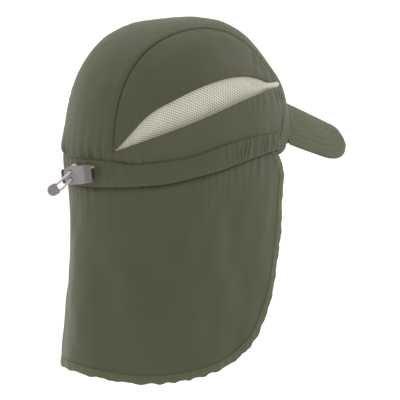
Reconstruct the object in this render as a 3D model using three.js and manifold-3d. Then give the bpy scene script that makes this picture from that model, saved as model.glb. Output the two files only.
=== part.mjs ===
// Legionnaire cap: a sun cap with a curved peak, mesh side vents and a long neck flap.
// Millimetres, +Z up. The front of the cap faces -Y and the wearer's right side is -X.
// The origin is on the axis of the head opening, level with the lower edge of the casing at the back.

import * as THREE from 'three';
import { mergeVertices } from 'three/addons/utils/BufferGeometryUtils.js';
import Module from 'manifold-3d';

const wasm = await Module();
wasm.setup();

// Crown: an oval dome that leans back a little, so that its front edge is higher
const crownHalfWidth = 80;
const crownHalfLength = 100.5;
const crownRise = 119.5;
const crownFullness = 2.55;
const crownLevel = 21.5;
const crownTilt = THREE.MathUtils.degToRad(4.8);
const cornerSwell = 4.5;
const cornerSwellTurn = THREE.MathUtils.degToRad(150);
const cornerSwellSpread = THREE.MathUtils.degToRad(28);
const cornerSwellFadeStart = 0.4;
const cornerSwellFadeEnd = 0.68;

// Cloth
const clothWall = 1.2;
const meshWall = 1.0;
const seamGap = 0.3;
const panelGap = 0.9;

// Centre panel, from the nape over the top to the peak
const centrePanelHalfWidth = 44;

// Side vents
const ventHeight = 53;
const ventSeamAllowance = 5;
const ventTipShare = 0.01;
const panelTipShare = 0.0035;
const upperPanelTipAngle = 0.03;

// Lower side panel, whose free top edge stands out over the mesh and wrinkles towards the front
const sidePanelProud = 5.5;
const sidePanelCurve = 1.3;
const wrinkleDepth = 0.24;
const wrinkleCount = 6.4;
const wrinkleStart = 0.55;

// Casing of the drawcord, from one end of the peak round the back to the other
const casingHeight = 22;
const casingWall = 1.6;
const casingEndTurn = 134.5;
const casingLap = 9;
const gatherDepth = 0.7;
const gatherCount = 15;
const gatherStart = 0.55;
const gatherFull = 0.68;
const gatherEnd = 0.95;
const casingSlotLength = 6;
const casingSlotDepth = 8;
const casingSlotHeight = 4.4;

// Neck flap and its turned hem
const flapDrop = 165;
const flapFlare = 5;
const flapFoldDepth = 1.5;
const flapFoldStart = 0.06;
const flapFoldFull = 0.5;
const flapLeastDrop = 2;
const flapEndTurn = 143;
const hemWidth = 7;
const hemWall = 2.3;
const hemGap = 0.5;
const flapColumns = 60;

// Peak
const peakHalfWidth = 59.2;
const peakReach = 50.6;
const peakStart = 105;
const peakWall = 3;
const peakCrestHeight = 60.5;
const peakPitch = 0.465;
const peakSideDrop = 41.5;
const peakRootHalfWidth = 53;

// Cord lock, flat against the casing near the middle of the back
const lockLength = 24;
const lockHeight = 15.4;
const lockDepth = 9;
const lockTurn = THREE.MathUtils.degToRad(18);
const lockRoll = THREE.MathUtils.degToRad(9);
const lockStandOff = 7.6;
const lockPlace = new THREE.Vector3(-20.4, crownHalfLength + lockStandOff, 12.1);
const lockCornerRadius = 6.6;
const lockHoleRadius = 1.6;
const lockHoleSpacing = 6.2;
const lockHoleOffset = 3.4;
const lockWall = 1.5;
const lockEndRound = 1.5;
const lockBackRound = 2.4;
const lockEdgeRound = 1;

// Plunger of the cord lock
const plungerTravel = 2;
const plungerClearance = 0.3;
const plungerButtonReach = 2.4;
const plungerButtonHeight = 12.4;
const plungerTipHeight = 8;
const plungerButtonDepth = 7.4;
const plungerCornerRadius = 1.4;
const plungerFrontRound = 1.6;
const plungerBackRound = 0.4;

// Drawcord and cord end
const cordDiameter = 2;
const cordSides = 8;
const cordEndLength = 9.4;
const cordEndWidth = 9.4;
const cordEndDepth = 6;
const cordEndSocket = 2;
const cordEndCornerRadius = 4.4;
const cordEndTipRound = 2.8;
const cordEndMouthRound = 1.6;

// Half width of the centre panel, along the seam from the nape to the peak
const centrePanelTable = [
  { along: -0.1, half: 0.985 },
  { along: 0.1, half: 0.985 },
  { along: 0.3, half: 0.96 },
  { along: 0.45, half: 0.9 },
  { along: 0.56, half: 0.86 },
  { along: 0.67, half: 0.95 },
  { along: 0.8, half: 1.07 },
  { along: 0.87, half: 1.215 },
  { along: 0.93, half: 1.375 },
  { along: 0.965, half: 1.45 },
  { along: 1.1, half: 1.47 },
];

// Height of the vent's upper and lower edge above the crown's level, round the side
const ventTable = [
  { along: 0, upper: 0.34, lower: 0.34 },
  { along: 0.06, upper: 0.57, lower: 0.42 },
  { along: 0.16, upper: 0.9, lower: 0.53 },
  { along: 0.3, upper: 1.11, lower: 0.66 },
  { along: 0.45, upper: 1.25, lower: 0.79 },
  { along: 0.6, upper: 1.315, lower: 0.9 },
  { along: 0.72, upper: 1.31, lower: 0.965 },
  { along: 0.83, upper: 1.24, lower: 0.995 },
  { along: 0.93, upper: 1.09, lower: 0.995 },
  { along: 1, upper: 0.98, lower: 0.98 },
];

// Lower and upper edge of the casing, from the nape to its front end
const casingTable = [
  { along: 0, lower: -0.55, upper: 0.49 },
  { along: 0.166, lower: -0.53, upper: 0.5 },
  { along: 0.277, lower: -0.52, upper: 0.36 },
  { along: 0.388, lower: -0.51, upper: 0.38 },
  { along: 0.532, lower: -0.36, upper: 0.47 },
  { along: 0.643, lower: -0.24, upper: 0.67 },
  { along: 0.753, lower: -0.08, upper: 0.79 },
  { along: 0.886, lower: 0.06, upper: 0.8 },
  { along: 1, lower: 0.1, upper: 0.68 },
];

// Outer edge of the neck flap, from its front corner round to the middle of the back
const flapEdgeTable = [
  { turn: 0.735, down: -0.235 },
  { turn: 0.741, down: -0.18 },
  { turn: 0.766, down: -0.12 },
  { turn: 0.784, down: -0.065 },
  { turn: 0.787, down: -0.01 },
  { turn: 0.777, down: 0.08 },
  { turn: 0.761, down: 0.215 },
  { turn: 0.74, down: 0.372 },
  { turn: 0.703, down: 0.54 },
  { turn: 0.652, down: 0.712 },
  { turn: 0.596, down: 0.83 },
  { turn: 0.511, down: 0.918 },
  { turn: 0.367, down: 0.976 },
  { turn: 0.222, down: 0.997 },
  { turn: 0.083, down: 0.976 },
  { turn: 0, down: 0.964 },
];

// How far the neck flap stands out, from its top to its hem
const flapFlareTable = [
  { down: 0, out: 0 },
  { down: 0.15, out: -0.3 },
  { down: 0.35, out: -0.25 },
  { down: 0.6, out: 0.2 },
  { down: 0.8, out: 0.7 },
  { down: 1, out: 1.05 },
  { down: 1.2, out: 1.3 },
];

// Soft folds of the neck flap: where each is, how wide, how deep and how it leans towards its lower end
const flapFoldTable = [
  { turn: -0.72, width: 0.05, depth: 0.6, lean: -0.04 },
  { turn: -0.5, width: 0.07, depth: -0.7, lean: 0.03 },
  { turn: -0.28, width: 0.06, depth: 0.8, lean: 0.05 },
  { turn: -0.1, width: 0.05, depth: -0.7, lean: 0.04 },
  { turn: 0.06, width: 0.05, depth: 0.9, lean: -0.05 },
  { turn: 0.2, width: 0.06, depth: -0.8, lean: -0.06 },
  { turn: 0.36, width: 0.07, depth: 0.6, lean: 0.02 },
  { turn: 0.56, width: 0.045, depth: -1, lean: -0.02 },
  { turn: 0.68, width: 0.05, depth: 0.7, lean: -0.02 },
];

// Free edge of the peak, from the middle of its front to its corner
const peakEdgeTable = [
  { across: 0, reach: 1 },
  { across: 0.3, reach: 0.982 },
  { across: 0.571, reach: 0.921 },
  { across: 0.65, reach: 0.87 },
  { across: 0.74, reach: 0.787 },
  { across: 0.814, reach: 0.688 },
  { across: 0.88, reach: 0.553 },
  { across: 0.926, reach: 0.403 },
  { across: 0.954, reach: 0.247 },
  { across: 0.975, reach: -0.018 },
  { across: 0.996, reach: -0.348 },
  { across: 1.004, reach: -0.53 },
];

// Drawcord, in the cord lock's own directions: along it, out from the casing, and up
const cordRight = [
  [-11.6, -9.6, 5.2], [-10.4, -8.8, 5.1], [-8.8, -7.9, 4.9], [-6.8, -7.4, 4.5], [-4.4, -7.3, 4],
  [-2, -7.3, 3.5], [0, -7.2, 3.2], [1.4, -6.5, 3.1], [2.6, -5.3, 3.1], [3.3, -3.7, 3.1],
  [3.4, -2, 3.1], [3.4, 0, 3.1], [3.4, 4.2, 3.1], [3.7, 6.3, 2.5], [4.7, 8.2, 1.1],
  [6.6, 10.5, -0.9], [8.6, 12.9, -3.4], [10.5, 15.4, -5.6], [12.1, 17.4, -6.9],
];
const cordLeft = [
  [18.5, -12.4, 1.4], [17.7, -11.2, 2.1], [16.8, -10.1, 3.4], [15.5, -9.1, 5.5], [13.6, -8.5, 7.6],
  [11.1, -8.3, 8.6], [8.7, -8.1, 7.6], [7.1, -7.9, 5.4], [6.1, -7.8, 3], [5.3, -7.6, 0.8],
  [4.4, -7, -1], [3.7, -5.8, -2.4], [3.42, -4.3, -3], [3.4, -2.5, -3.1], [3.4, 4.2, -3.1],
  [3.75, 6.4, -3.9], [4.7, 8.7, -5.7], [5.8, 10.8, -7.9], [7, 12.6, -9.6], [8.4, 14.5, -10.7],
  [9.9, 16.4, -11.6],
];

const backAxis = new THREE.Vector3(1, 0, 0);
const upAxis = new THREE.Vector3(0, 0, 1);

// Smooth reading of one column of a table between its rows
function readTable(table, key, column) {
  const at = table.map((row) => row[key]);
  const value = table.map((row) => row[column]);
  const last = at.length - 1;
  const slope = value.map((_, i) => {
    const a = Math.max(i - 1, 0);
    const b = Math.min(i + 1, last);
    return (value[b] - value[a]) / (at[b] - at[a]);
  });
  return (x) => {
    let i = at.findIndex((limit) => x < limit) - 1;
    if (i < 0) i = x < at[0] ? 0 : last - 1;
    const span = at[i + 1] - at[i];
    const t = THREE.MathUtils.clamp((x - at[i]) / span, 0, 1);
    const a = (2 * t * t * t - 3 * t * t + 1) * value[i] + (t * t * t - 2 * t * t + t) * span * slope[i];
    const b = (3 * t * t - 2 * t * t * t) * value[i + 1] + (t * t * t - t * t) * span * slope[i + 1];
    return a + b;
  };
}

const centrePanelHalf = readTable(centrePanelTable, 'along', 'half');
const ventUpper = readTable(ventTable, 'along', 'upper');
const ventLower = readTable(ventTable, 'along', 'lower');
const casingLower = readTable(casingTable, 'along', 'lower');
const casingUpper = readTable(casingTable, 'along', 'upper');
const flapFlareShare = readTable(flapFlareTable, 'down', 'out');

// Crown surface, in the crown's own upright directions
function crownValue(p) {
  const flat = Math.hypot(p.x / crownHalfWidth, p.y / crownHalfLength) ** crownFullness;
  return p.z > 0 ? flat + (p.z / crownRise) ** crownFullness : flat;
}

function ontoCrown(p) {
  return p.clone().multiplyScalar(crownValue(p) ** (-1 / crownFullness));
}

function crownNormal(p) {
  const step = 0.05;
  const slope = (axis) => {
    const ahead = p.clone();
    const behind = p.clone();
    ahead[axis] += step;
    behind[axis] -= step;
    return crownValue(ahead) - crownValue(behind);
  };
  return new THREE.Vector3(slope('x'), slope('y'), slope('z')).normalize();
}

// Point of the crown at a turn in degrees from the back towards the wearer's right, at a height
function crownAt(turn, height) {
  const angle = THREE.MathUtils.degToRad(turn);
  const narrowing = height > 0
    ? (1 - (height / crownRise) ** crownFullness) ** (1 / crownFullness)
    : 1;
  const radius = narrowing / Math.hypot(Math.sin(angle) / crownHalfWidth, Math.cos(angle) / crownHalfLength);
  return new THREE.Vector3(-radius * Math.sin(angle), radius * Math.cos(angle), height);
}

// Point of the crown at a distance from the middle plane, where angle runs from the nape over the top
function crownOver(x, angle) {
  let near = 0;
  let far = 2 * crownHalfLength;
  for (let i = 0; i < 40; i += 1) {
    const middle = (near + far) / 2;
    const p = new THREE.Vector3(x, middle * Math.cos(angle), middle * Math.sin(angle));
    if (crownValue(p) < 1) near = middle;
    else far = middle;
  }
  return new THREE.Vector3(x, near * Math.cos(angle), near * Math.sin(angle));
}

// The crown stands out a little at its two front corners, where the ends of the peak pull it
function cornerRise(p) {
  const turn = Math.abs(Math.atan2(-p.x, p.y));
  const round = Math.exp(-(((turn - cornerSwellTurn) / cornerSwellSpread) ** 2));
  const fade = THREE.MathUtils.smoothstep(p.z / crownRise, cornerSwellFadeStart, cornerSwellFadeEnd);
  return cornerSwell * round * (1 - fade);
}

function outFromCrown(p, distance) {
  return p.clone().addScaledVector(crownNormal(p), distance + cornerRise(p));
}

function toCap(p) {
  return p.clone().applyAxisAngle(backAxis, -crownTilt).add(new THREE.Vector3(0, 0, crownLevel));
}

// Closed solid from an outer and an inner face, each a grid over u and v from 0 to 1
function sheetGeometry(columns, rows, outer, inner) {
  const positions = [];
  const index = [];
  const width = columns + 1;
  for (const face of [outer, inner]) {
    for (let j = 0; j <= rows; j += 1) {
      for (let i = 0; i <= columns; i += 1) positions.push(...face(i / columns, j / rows).toArray());
    }
  }
  const at = (i, j, side) => side * width * (rows + 1) + j * width + i;
  const quad = (a, b, c, d) => index.push(a, b, c, a, c, d);
  for (let j = 0; j < rows; j += 1) {
    for (let i = 0; i < columns; i += 1) {
      quad(at(i, j, 0), at(i + 1, j, 0), at(i + 1, j + 1, 0), at(i, j + 1, 0));
      quad(at(i, j + 1, 1), at(i + 1, j + 1, 1), at(i + 1, j, 1), at(i, j, 1));
    }
  }
  for (let i = 0; i < columns; i += 1) {
    quad(at(i, 0, 1), at(i + 1, 0, 1), at(i + 1, 0, 0), at(i, 0, 0));
    quad(at(i, rows, 0), at(i + 1, rows, 0), at(i + 1, rows, 1), at(i, rows, 1));
  }
  for (let j = 0; j < rows; j += 1) {
    quad(at(0, j, 0), at(0, j + 1, 0), at(0, j + 1, 1), at(0, j, 1));
    quad(at(columns, j, 1), at(columns, j + 1, 1), at(columns, j + 1, 0), at(columns, j, 0));
  }
  return facingOut(positions, index);
}

// Geometry whose faces point outwards, whichever way the grid was wound
function facingOut(positions, index) {
  const corner = (k) => new THREE.Vector3().fromArray(positions, 3 * k);
  let volume = 0;
  for (let k = 0; k < index.length; k += 3) {
    volume += corner(index[k]).dot(corner(index[k + 1]).cross(corner(index[k + 2])));
  }
  if (volume < 0) {
    for (let k = 0; k < index.length; k += 3) [index[k], index[k + 1]] = [index[k + 1], index[k]];
  }
  const geometry = new THREE.BufferGeometry();
  geometry.setAttribute('position', new THREE.Float32BufferAttribute(positions, 3));
  geometry.setIndex(index);
  geometry.computeVertexNormals();
  return geometry;
}

// Cloth between two offsets from the crown, where place gives a point of the crown and rise its lift
function crownSheet(columns, rows, place, outerOffset, wall, rise = () => 0) {
  const face = (offset) => (u, v) => toCap(outFromCrown(place(u, v), offset + rise(u, v)));
  return sheetGeometry(columns, rows, face(outerOffset), face(outerOffset - wall));
}

function solidOf(geometry) {
  const bare = geometry.clone();
  bare.deleteAttribute('normal');
  bare.deleteAttribute('uv');
  const merged = mergeVertices(bare);
  const vertProperties = new Float32Array(merged.attributes.position.array);
  const triVerts = new Uint32Array(merged.index.array);
  return new wasm.Manifold(new wasm.Mesh({ numProp: 3, vertProperties, triVerts }));
}

function geometryOf(solid) {
  const mesh = solid.getMesh();
  const geometry = new THREE.BufferGeometry();
  geometry.setAttribute('position', new THREE.BufferAttribute(new Float32Array(mesh.vertProperties), 3));
  geometry.setIndex(new THREE.BufferAttribute(new Uint32Array(mesh.triVerts), 1));
  geometry.computeVertexNormals();
  return geometry;
}

function cloth(name, geometry, colour, roughness = 0.75) {
  const material = new THREE.MeshStandardMaterial({ color: colour, roughness, metalness: 0 });
  const mesh = new THREE.Mesh(geometry, material);
  mesh.name = name;
  return mesh;
}

const crownColour = 0x5a5d46;
const flapColour = 0x4f523c;
const peakColour = 0x777a63;
const meshColour = 0xb3b09f;
const lockColour = 0x958e8d;
const plungerColour = 0x565254;
const cordColour = 0x8f8882;

// The casing's edges at a turn, as heights of the crown
function casingEdge(turn, edge) {
  return casingHeight * edge(Math.abs(turn) / casingEndTurn);
}

// Where the crown's cloth ends under the casing
function crownHem(turn) {
  return casingEdge(THREE.MathUtils.clamp(turn, -casingEndTurn, casingEndTurn), casingLower) + casingLap;
}

// Height of the middle of the peak's cloth
function peakHeight(x, y) {
  const crest = peakCrestHeight + peakPitch * (y + peakStart);
  return crest - peakSideDrop * (x / peakHalfWidth) ** 2;
}

// Point of the crown where the peak joins it, at a distance from the middle plane
function peakRoot(x) {
  let height = casingHeight;
  let point = null;
  for (let i = 0; i < 30; i += 1) {
    const narrowing = (1 - (Math.max(height, 0) / crownRise) ** crownFullness) ** (1 / crownFullness);
    const y = -crownHalfLength * Math.sqrt(Math.max(narrowing ** 2 - (x / crownHalfWidth) ** 2, 0));
    point = new THREE.Vector3(x, y, height);
    const seen = toCap(point);
    height += 0.8 * (peakHeight(seen.x, seen.y) - seen.z);
  }
  return point;
}

// Point where the centre panel meets the peak, at a share of the panel's half width from its middle
function peakRootAcross(share) {
  let root = peakRoot(share * centrePanelHalfWidth);
  for (let i = 0; i < 8; i += 1) {
    const angle = Math.PI - Math.atan2(root.z, -root.y);
    root = peakRoot(share * centrePanelHalfWidth * centrePanelHalf(angle / Math.PI));
  }
  return root;
}

function makeCentrePanel() {
  const frontDrop = 0.5 * peakWall + seamGap;
  const place = (u, v) => {
    const across = 2 * u - 1;
    const rough = across * centrePanelHalfWidth;
    const backTurn = -THREE.MathUtils.radToDeg(Math.asin(rough / crownHalfWidth));
    const start = crownAt(backTurn, crownHem(backTurn));
    const root = peakRootAcross(across);
    const startAngle = Math.atan2(start.z, start.y);
    const endAngle = Math.PI - Math.atan2(root.z - frontDrop, -root.y);
    const angle = THREE.MathUtils.lerp(startAngle, endAngle, v);
    const half = centrePanelHalfWidth * centrePanelHalf(angle / Math.PI) - 0.5 * panelGap;
    return crownOver(across * half, angle);
  };
  return cloth('crown_centre_panel', crownSheet(10, 26, place, 0, clothWall), crownColour);
}

// Point of the seam beside the centre panel, where side is -1 on the wearer's right
function seamAt(side, angle) {
  const half = centrePanelHalfWidth * centrePanelHalf(angle / Math.PI) + 0.5 * panelGap;
  return crownOver(side * half, angle);
}

// Angle of the seam where it passes a height, on its way up at the back or down at the front
function seamAngle(height, atBack) {
  let low = atBack ? -0.5 : Math.PI + 0.5;
  let high = Math.PI / 2;
  for (let i = 0; i < 40; i += 1) {
    const middle = (low + high) / 2;
    if (seamAt(1, middle).z < height) low = middle;
    else high = middle;
  }
  return high;
}

function seamTurn(height, atBack) {
  const p = seamAt(-1, seamAngle(height, atBack));
  return THREE.MathUtils.radToDeg(Math.atan2(-p.x, p.y));
}

const ventBackTurn = seamTurn(ventHeight * ventUpper(0), true);
const ventFrontTurn = seamTurn(ventHeight * ventUpper(1), false);

function ventPoint(side, along, edge) {
  const turn = THREE.MathUtils.lerp(ventBackTurn, ventFrontTurn, along);
  return crownAt(-side * turn, ventHeight * edge(along));
}

function makeUpperPanel(side, name) {
  const backAngle = seamAngle(ventHeight * ventUpper(0), true);
  const frontAngle = seamAngle(ventHeight * ventUpper(1), false);
  const place = (u, v) => {
    const lower = ventPoint(side, THREE.MathUtils.lerp(panelTipShare, 1 - panelTipShare, u), ventUpper);
    const angle = THREE.MathUtils.lerp(backAngle + upperPanelTipAngle, frontAngle - upperPanelTipAngle, u);
    const upper = seamAt(side, angle);
    return ontoCrown(lower.lerp(upper, v));
  };
  return cloth(name, crownSheet(20, 5, place, 0, clothWall), crownColour);
}

function makeVentMesh(side, name) {
  const underCloth = -(clothWall + seamGap);
  const lowFrontTurn = seamTurn(crownHem(ventFrontTurn), false);
  const place = (u, v) => {
    const along = THREE.MathUtils.lerp(ventTipShare, 1 - ventTipShare, u);
    const turn = THREE.MathUtils.lerp(ventBackTurn, lowFrontTurn, along);
    const lower = crownAt(-side * turn, crownHem(turn) + seamGap);
    const upper = ventPoint(side, along, ventUpper);
    upper.z += ventSeamAllowance;
    return ontoCrown(lower.lerp(upper, v));
  };
  return cloth(name, crownSheet(22, 6, place, underCloth, meshWall), meshColour, 0.85);
}

function makeLowerPanel(side, name) {
  const backTurn = seamTurn(crownHem(ventBackTurn), true);
  const frontTurn = seamTurn(crownHem(ventFrontTurn), false);
  const place = (u, v) => {
    const turn = THREE.MathUtils.lerp(backTurn, frontTurn, u);
    const lower = crownAt(-side * turn, crownHem(turn));
    const upper = ventPoint(side, THREE.MathUtils.lerp(panelTipShare, 1 - panelTipShare, u), ventLower);
    return ontoCrown(lower.lerp(upper, v));
  };
  const proud = (u, v) => {
    const turn = THREE.MathUtils.lerp(backTurn, frontTurn, u);
    const covered = casingEdge(turn, casingUpper) - crownHem(turn);
    const full = ventHeight * ventLower(u) - crownHem(turn);
    const free = Math.max(0, (v * full - covered) / (full - covered));
    const lengthwise = THREE.MathUtils.smoothstep(Math.sin(Math.PI * u), 0, 0.75);
    const wrinkle = wrinkleDepth * Math.sin(2 * Math.PI * wrinkleCount * u) * Math.max(0, u - wrinkleStart);
    return sidePanelProud * lengthwise * (1 + wrinkle) * free ** sidePanelCurve;
  };
  return cloth(name, crownSheet(26, 5, place, 0, clothWall, proud), crownColour);
}

// Gathers of the casing towards its two front ends
function casingGather(turn) {
  const along = Math.abs(turn) / casingEndTurn;
  const fade = THREE.MathUtils.smoothstep(along, gatherEnd, 1);
  const strength = THREE.MathUtils.smoothstep(along, gatherStart, gatherFull) * (1 - fade);
  return gatherDepth * strength * (0.5 + 0.5 * Math.sin(2 * Math.PI * gatherCount * along));
}

function makeCasing() {
  const turnAt = (u) => THREE.MathUtils.lerp(-casingEndTurn, casingEndTurn, u);
  const place = (u, v) => {
    const turn = turnAt(u);
    const lower = casingEdge(turn, casingLower);
    const upper = casingEdge(turn, casingUpper);
    return crownAt(turn, THREE.MathUtils.lerp(lower, upper, v));
  };
  const gather = (u, v) => casingGather(turnAt(u)) * Math.sin(Math.PI * v);
  const outer = (u, v) => toCap(outFromCrown(place(u, v), seamGap + casingWall + gather(u, v)));
  const inner = (u, v) => toCap(outFromCrown(place(u, v), seamGap));
  let solid = solidOf(sheetGeometry(100, 2, outer, inner));
  for (const route of [cordRight, cordLeft]) {
    const slot = new THREE.BoxGeometry(casingSlotLength, casingSlotDepth, casingSlotHeight);
    const middle = lockToCap(new THREE.Vector3(...route[1]));
    slot.rotateZ(lockTurn);
    slot.translate(...middle.toArray());
    solid = solid.subtract(solidOf(slot));
  }
  return cloth('casing', geometryOf(solid), flapColour);
}

// Point of the neck flap at a turn in degrees and a height of the cap
function flapPoint(turn, z, offset) {
  const edge = THREE.MathUtils.clamp(turn, -flapEndTurn, flapEndTurn);
  const top = toCap(outFromCrown(crownAt(edge, crownHem(edge) - 2 * seamGap), -0.5 * seamGap));
  const down = (top.z - z) / flapDrop;
  const outward = crownAt(turn, 0).setZ(0).normalize();
  let fold = 0;
  for (const row of flapFoldTable) {
    const middle = row.turn + row.lean * down;
    fold += row.depth * Math.exp(-(((turn / 180 - middle) / row.width) ** 2));
  }
  const fade = THREE.MathUtils.smoothstep(down, flapFoldStart, flapFoldFull);
  const out = flapFlare * flapFlareShare(down) + flapFoldDepth * fold * fade + offset;
  return new THREE.Vector3(top.x, top.y, z).addScaledVector(outward, out);
}

// Outline of the neck flap laid flat: x is the length round the head and y the height
const flatPerDegree = Math.PI * (crownHalfWidth + crownHalfLength) / 360;

const flapTopTurn = 180 * flapEdgeTable[0].turn;

function flapOutline() {
  const half = flapEdgeTable.map((row) => new THREE.Vector2(
    row.turn * 180 * flatPerDegree, -row.down * flapDrop));
  const mirrored = half.slice(0, -1).reverse().map((p) => new THREE.Vector2(-p.x, p.y));
  return new THREE.SplineCurve([...half, ...mirrored]);
}

function flapEdgePoint(outline, share, inset) {
  const point = outline.getPointAt(share);
  const tangent = outline.getTangentAt(share);
  return point.add(new THREE.Vector2(tangent.y, -tangent.x).multiplyScalar(inset));
}

function flapTopHeight(turn) {
  return toCap(crownAt(turn, crownHem(turn) - 2 * seamGap)).z;
}

function makeNeckFlap() {
  const outline = flapOutline();
  const place = (offset) => (u, v) => {
    const edge = flapEdgePoint(outline, u, hemWidth + hemGap);
    const edgeTurn = edge.x / flatPerDegree;
    const start = THREE.MathUtils.lerp(1, -1, u) * (flapTopTurn - (hemWidth + hemGap) / flatPerDegree);
    const turn = THREE.MathUtils.lerp(edgeTurn, start, v);
    const bottom = Math.min(edge.y, flapTopHeight(turn) - flapLeastDrop);
    return flapPoint(turn, THREE.MathUtils.lerp(bottom, flapTopHeight(turn), v), offset);
  };
  return cloth('neck_flap', sheetGeometry(flapColumns, 9, place(0), place(-clothWall)), flapColour);
}

function makeFlapHem() {
  const outline = flapOutline();
  const place = (offset) => (u, v) => {
    const p = flapEdgePoint(outline, u, hemWidth * v);
    const turn = p.x / flatPerDegree;
    const height = Math.min(p.y, flapTopHeight(THREE.MathUtils.clamp(turn, -flapEndTurn, flapEndTurn)));
    return flapPoint(turn, height, offset);
  };
  return cloth('neck_flap_hem', sheetGeometry(flapColumns, 2, place(0), place(-hemWall)), flapColour);
}

function makePeak() {
  const half = peakEdgeTable.map((row) => new THREE.Vector2(
    row.across * peakHalfWidth, -peakStart - row.reach * peakReach));
  const mirrored = half.slice(1).reverse().map((p) => new THREE.Vector2(-p.x, p.y));
  const edge = new THREE.SplineCurve([...mirrored, ...half]);
  const middle = (u, v) => {
    const root = toCap(outFromCrown(peakRoot(THREE.MathUtils.lerp(-1, 1, u) * peakRootHalfWidth), panelGap));
    const tip = edge.getPointAt(u);
    const x = THREE.MathUtils.lerp(root.x, tip.x, v);
    const y = THREE.MathUtils.lerp(root.y, tip.y, v);
    return new THREE.Vector3(x, y, peakHeight(x, y));
  };
  const face = (offset) => (u, v) => middle(u, v).addScaledVector(upAxis, offset);
  return cloth('peak', sheetGeometry(24, 7, face(0.5 * peakWall), face(-0.5 * peakWall)), peakColour, 0.7);
}

// The cord lock's own directions: x along it towards the wearer's left, y out from the casing, z up
const lockMatrix = new THREE.Matrix4().makeRotationZ(lockTurn)
  .multiply(new THREE.Matrix4().makeRotationY(lockRoll))
  .setPosition(lockPlace);

function lockToCap(p) {
  return p.clone().applyMatrix4(lockMatrix);
}

function setOnLock(geometry) {
  return geometry.applyMatrix4(lockMatrix);
}

function box(x0, x1, y0, y1, z0, z1) {
  const geometry = new THREE.BoxGeometry(x1 - x0, y1 - y0, z1 - z0);
  return geometry.translate((x0 + x1) / 2, (y0 + y1) / 2, (z0 + z1) / 2);
}

function outlineWithArcs(corners) {
  const shape = new THREE.Shape();
  corners.forEach(({ x, y, round }, i) => {
    const before = corners[(i + corners.length - 1) % corners.length];
    const after = corners[(i + 1) % corners.length];
    const here = new THREE.Vector2(x, y);
    const start = here.clone().add(new THREE.Vector2(before.x - x, before.y - y).setLength(round));
    const end = here.clone().add(new THREE.Vector2(after.x - x, after.y - y).setLength(round));
    if (i === 0) shape.moveTo(start.x, start.y);
    else shape.lineTo(start.x, start.y);
    shape.quadraticCurveTo(x, y, end.x, end.y);
  });
  shape.closePath();
  return shape;
}

const roundBox = (x0, x1, y0, y1, radii) => outlineWithArcs([
  { x: x0, y: y0, round: radii[0] },
  { x: x1, y: y0, round: radii[1] },
  { x: x1, y: y1, round: radii[2] },
  { x: x0, y: y1, round: radii[3] },
]);

// A block whose outline is given from the front and from above
function blockFromTwoSides(frontShape, planShape, size) {
  const options = { depth: 2 * size, bevelEnabled: false, curveSegments: 5 };
  const front = new THREE.ExtrudeGeometry(frontShape, options).translate(0, 0, -size).rotateX(Math.PI / 2);
  const plan = new THREE.ExtrudeGeometry(planShape, options).translate(0, 0, -size);
  return solidOf(front).intersect(solidOf(plan));
}

function makeCordLock() {
  const leftEnd = lockLength / 2;
  const rightEnd = -leftEnd;
  const high = lockHeight / 2;
  const deep = lockDepth / 2;
  const body = blockFromTwoSides(
    roundBox(rightEnd, leftEnd, -high, high,
      [lockEndRound, lockCornerRadius, lockCornerRadius, lockEndRound]),
    roundBox(rightEnd, leftEnd, -deep, deep, [lockBackRound, lockEdgeRound, lockEdgeRound, lockBackRound]),
    lockLength,
  );
  const pocketHigh = lockHeight / 2 - lockWall;
  const pocketDeep = plungerButtonDepth / 2 - lockWall / 2;
  const pocketEnd = lockHoleOffset - plungerTravel - 4 * lockHoleRadius;
  const pocket = box(pocketEnd, leftEnd + 1, -pocketDeep, pocketDeep, -pocketHigh, pocketHigh);
  let solid = body.subtract(solidOf(pocket));
  for (const side of [-1, 1]) {
    const hole = new THREE.CylinderGeometry(lockHoleRadius, lockHoleRadius, 2 * lockDepth, 14);
    hole.translate(lockHoleOffset, 0, side * lockHoleSpacing / 2);
    solid = solid.subtract(solidOf(hole));
  }
  return cloth('cord_lock_body', setOnLock(geometryOf(solid)), lockColour, 0.5);
}

function makePlunger() {
  const pocketHigh = lockHeight / 2 - lockWall - plungerClearance;
  const pocketDeep = plungerButtonDepth / 2 - lockWall / 2 - plungerClearance;
  const pocketEnd = lockHoleOffset - plungerTravel - 4 * lockHoleRadius;
  const buttonBack = lockLength / 2 + plungerTravel + plungerClearance;
  const buttonFront = buttonBack + plungerButtonReach;
  const button = blockFromTwoSides(
    outlineWithArcs([
      { x: buttonBack, y: -plungerButtonHeight / 2, round: plungerBackRound },
      { x: buttonFront, y: -plungerTipHeight / 2, round: plungerCornerRadius },
      { x: buttonFront, y: plungerTipHeight / 2, round: plungerCornerRadius },
      { x: buttonBack, y: plungerButtonHeight / 2, round: plungerBackRound },
    ]),
    roundBox(buttonBack, buttonFront, -plungerButtonDepth / 2, plungerButtonDepth / 2,
      [plungerBackRound, plungerFrontRound, plungerFrontRound, plungerBackRound]),
    lockLength,
  );
  const stemEnd = pocketEnd + plungerTravel + plungerClearance;
  const stem = solidOf(box(stemEnd, buttonBack + 1, -pocketDeep, pocketDeep, -pocketHigh, pocketHigh));
  const windowBack = lockHoleOffset - cordDiameter / 2 - plungerClearance;
  const windowFront = lockHoleOffset + plungerTravel + cordDiameter / 2 + plungerClearance;
  const windowHigh = lockHoleSpacing / 2 + cordDiameter / 2 + plungerClearance;
  const window = solidOf(box(windowBack, windowFront, -lockDepth, lockDepth, -windowHigh, windowHigh));
  const solid = button.add(stem).subtract(window);
  return cloth('cord_lock_plunger', setOnLock(geometryOf(solid)), plungerColour, 0.5);
}

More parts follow.
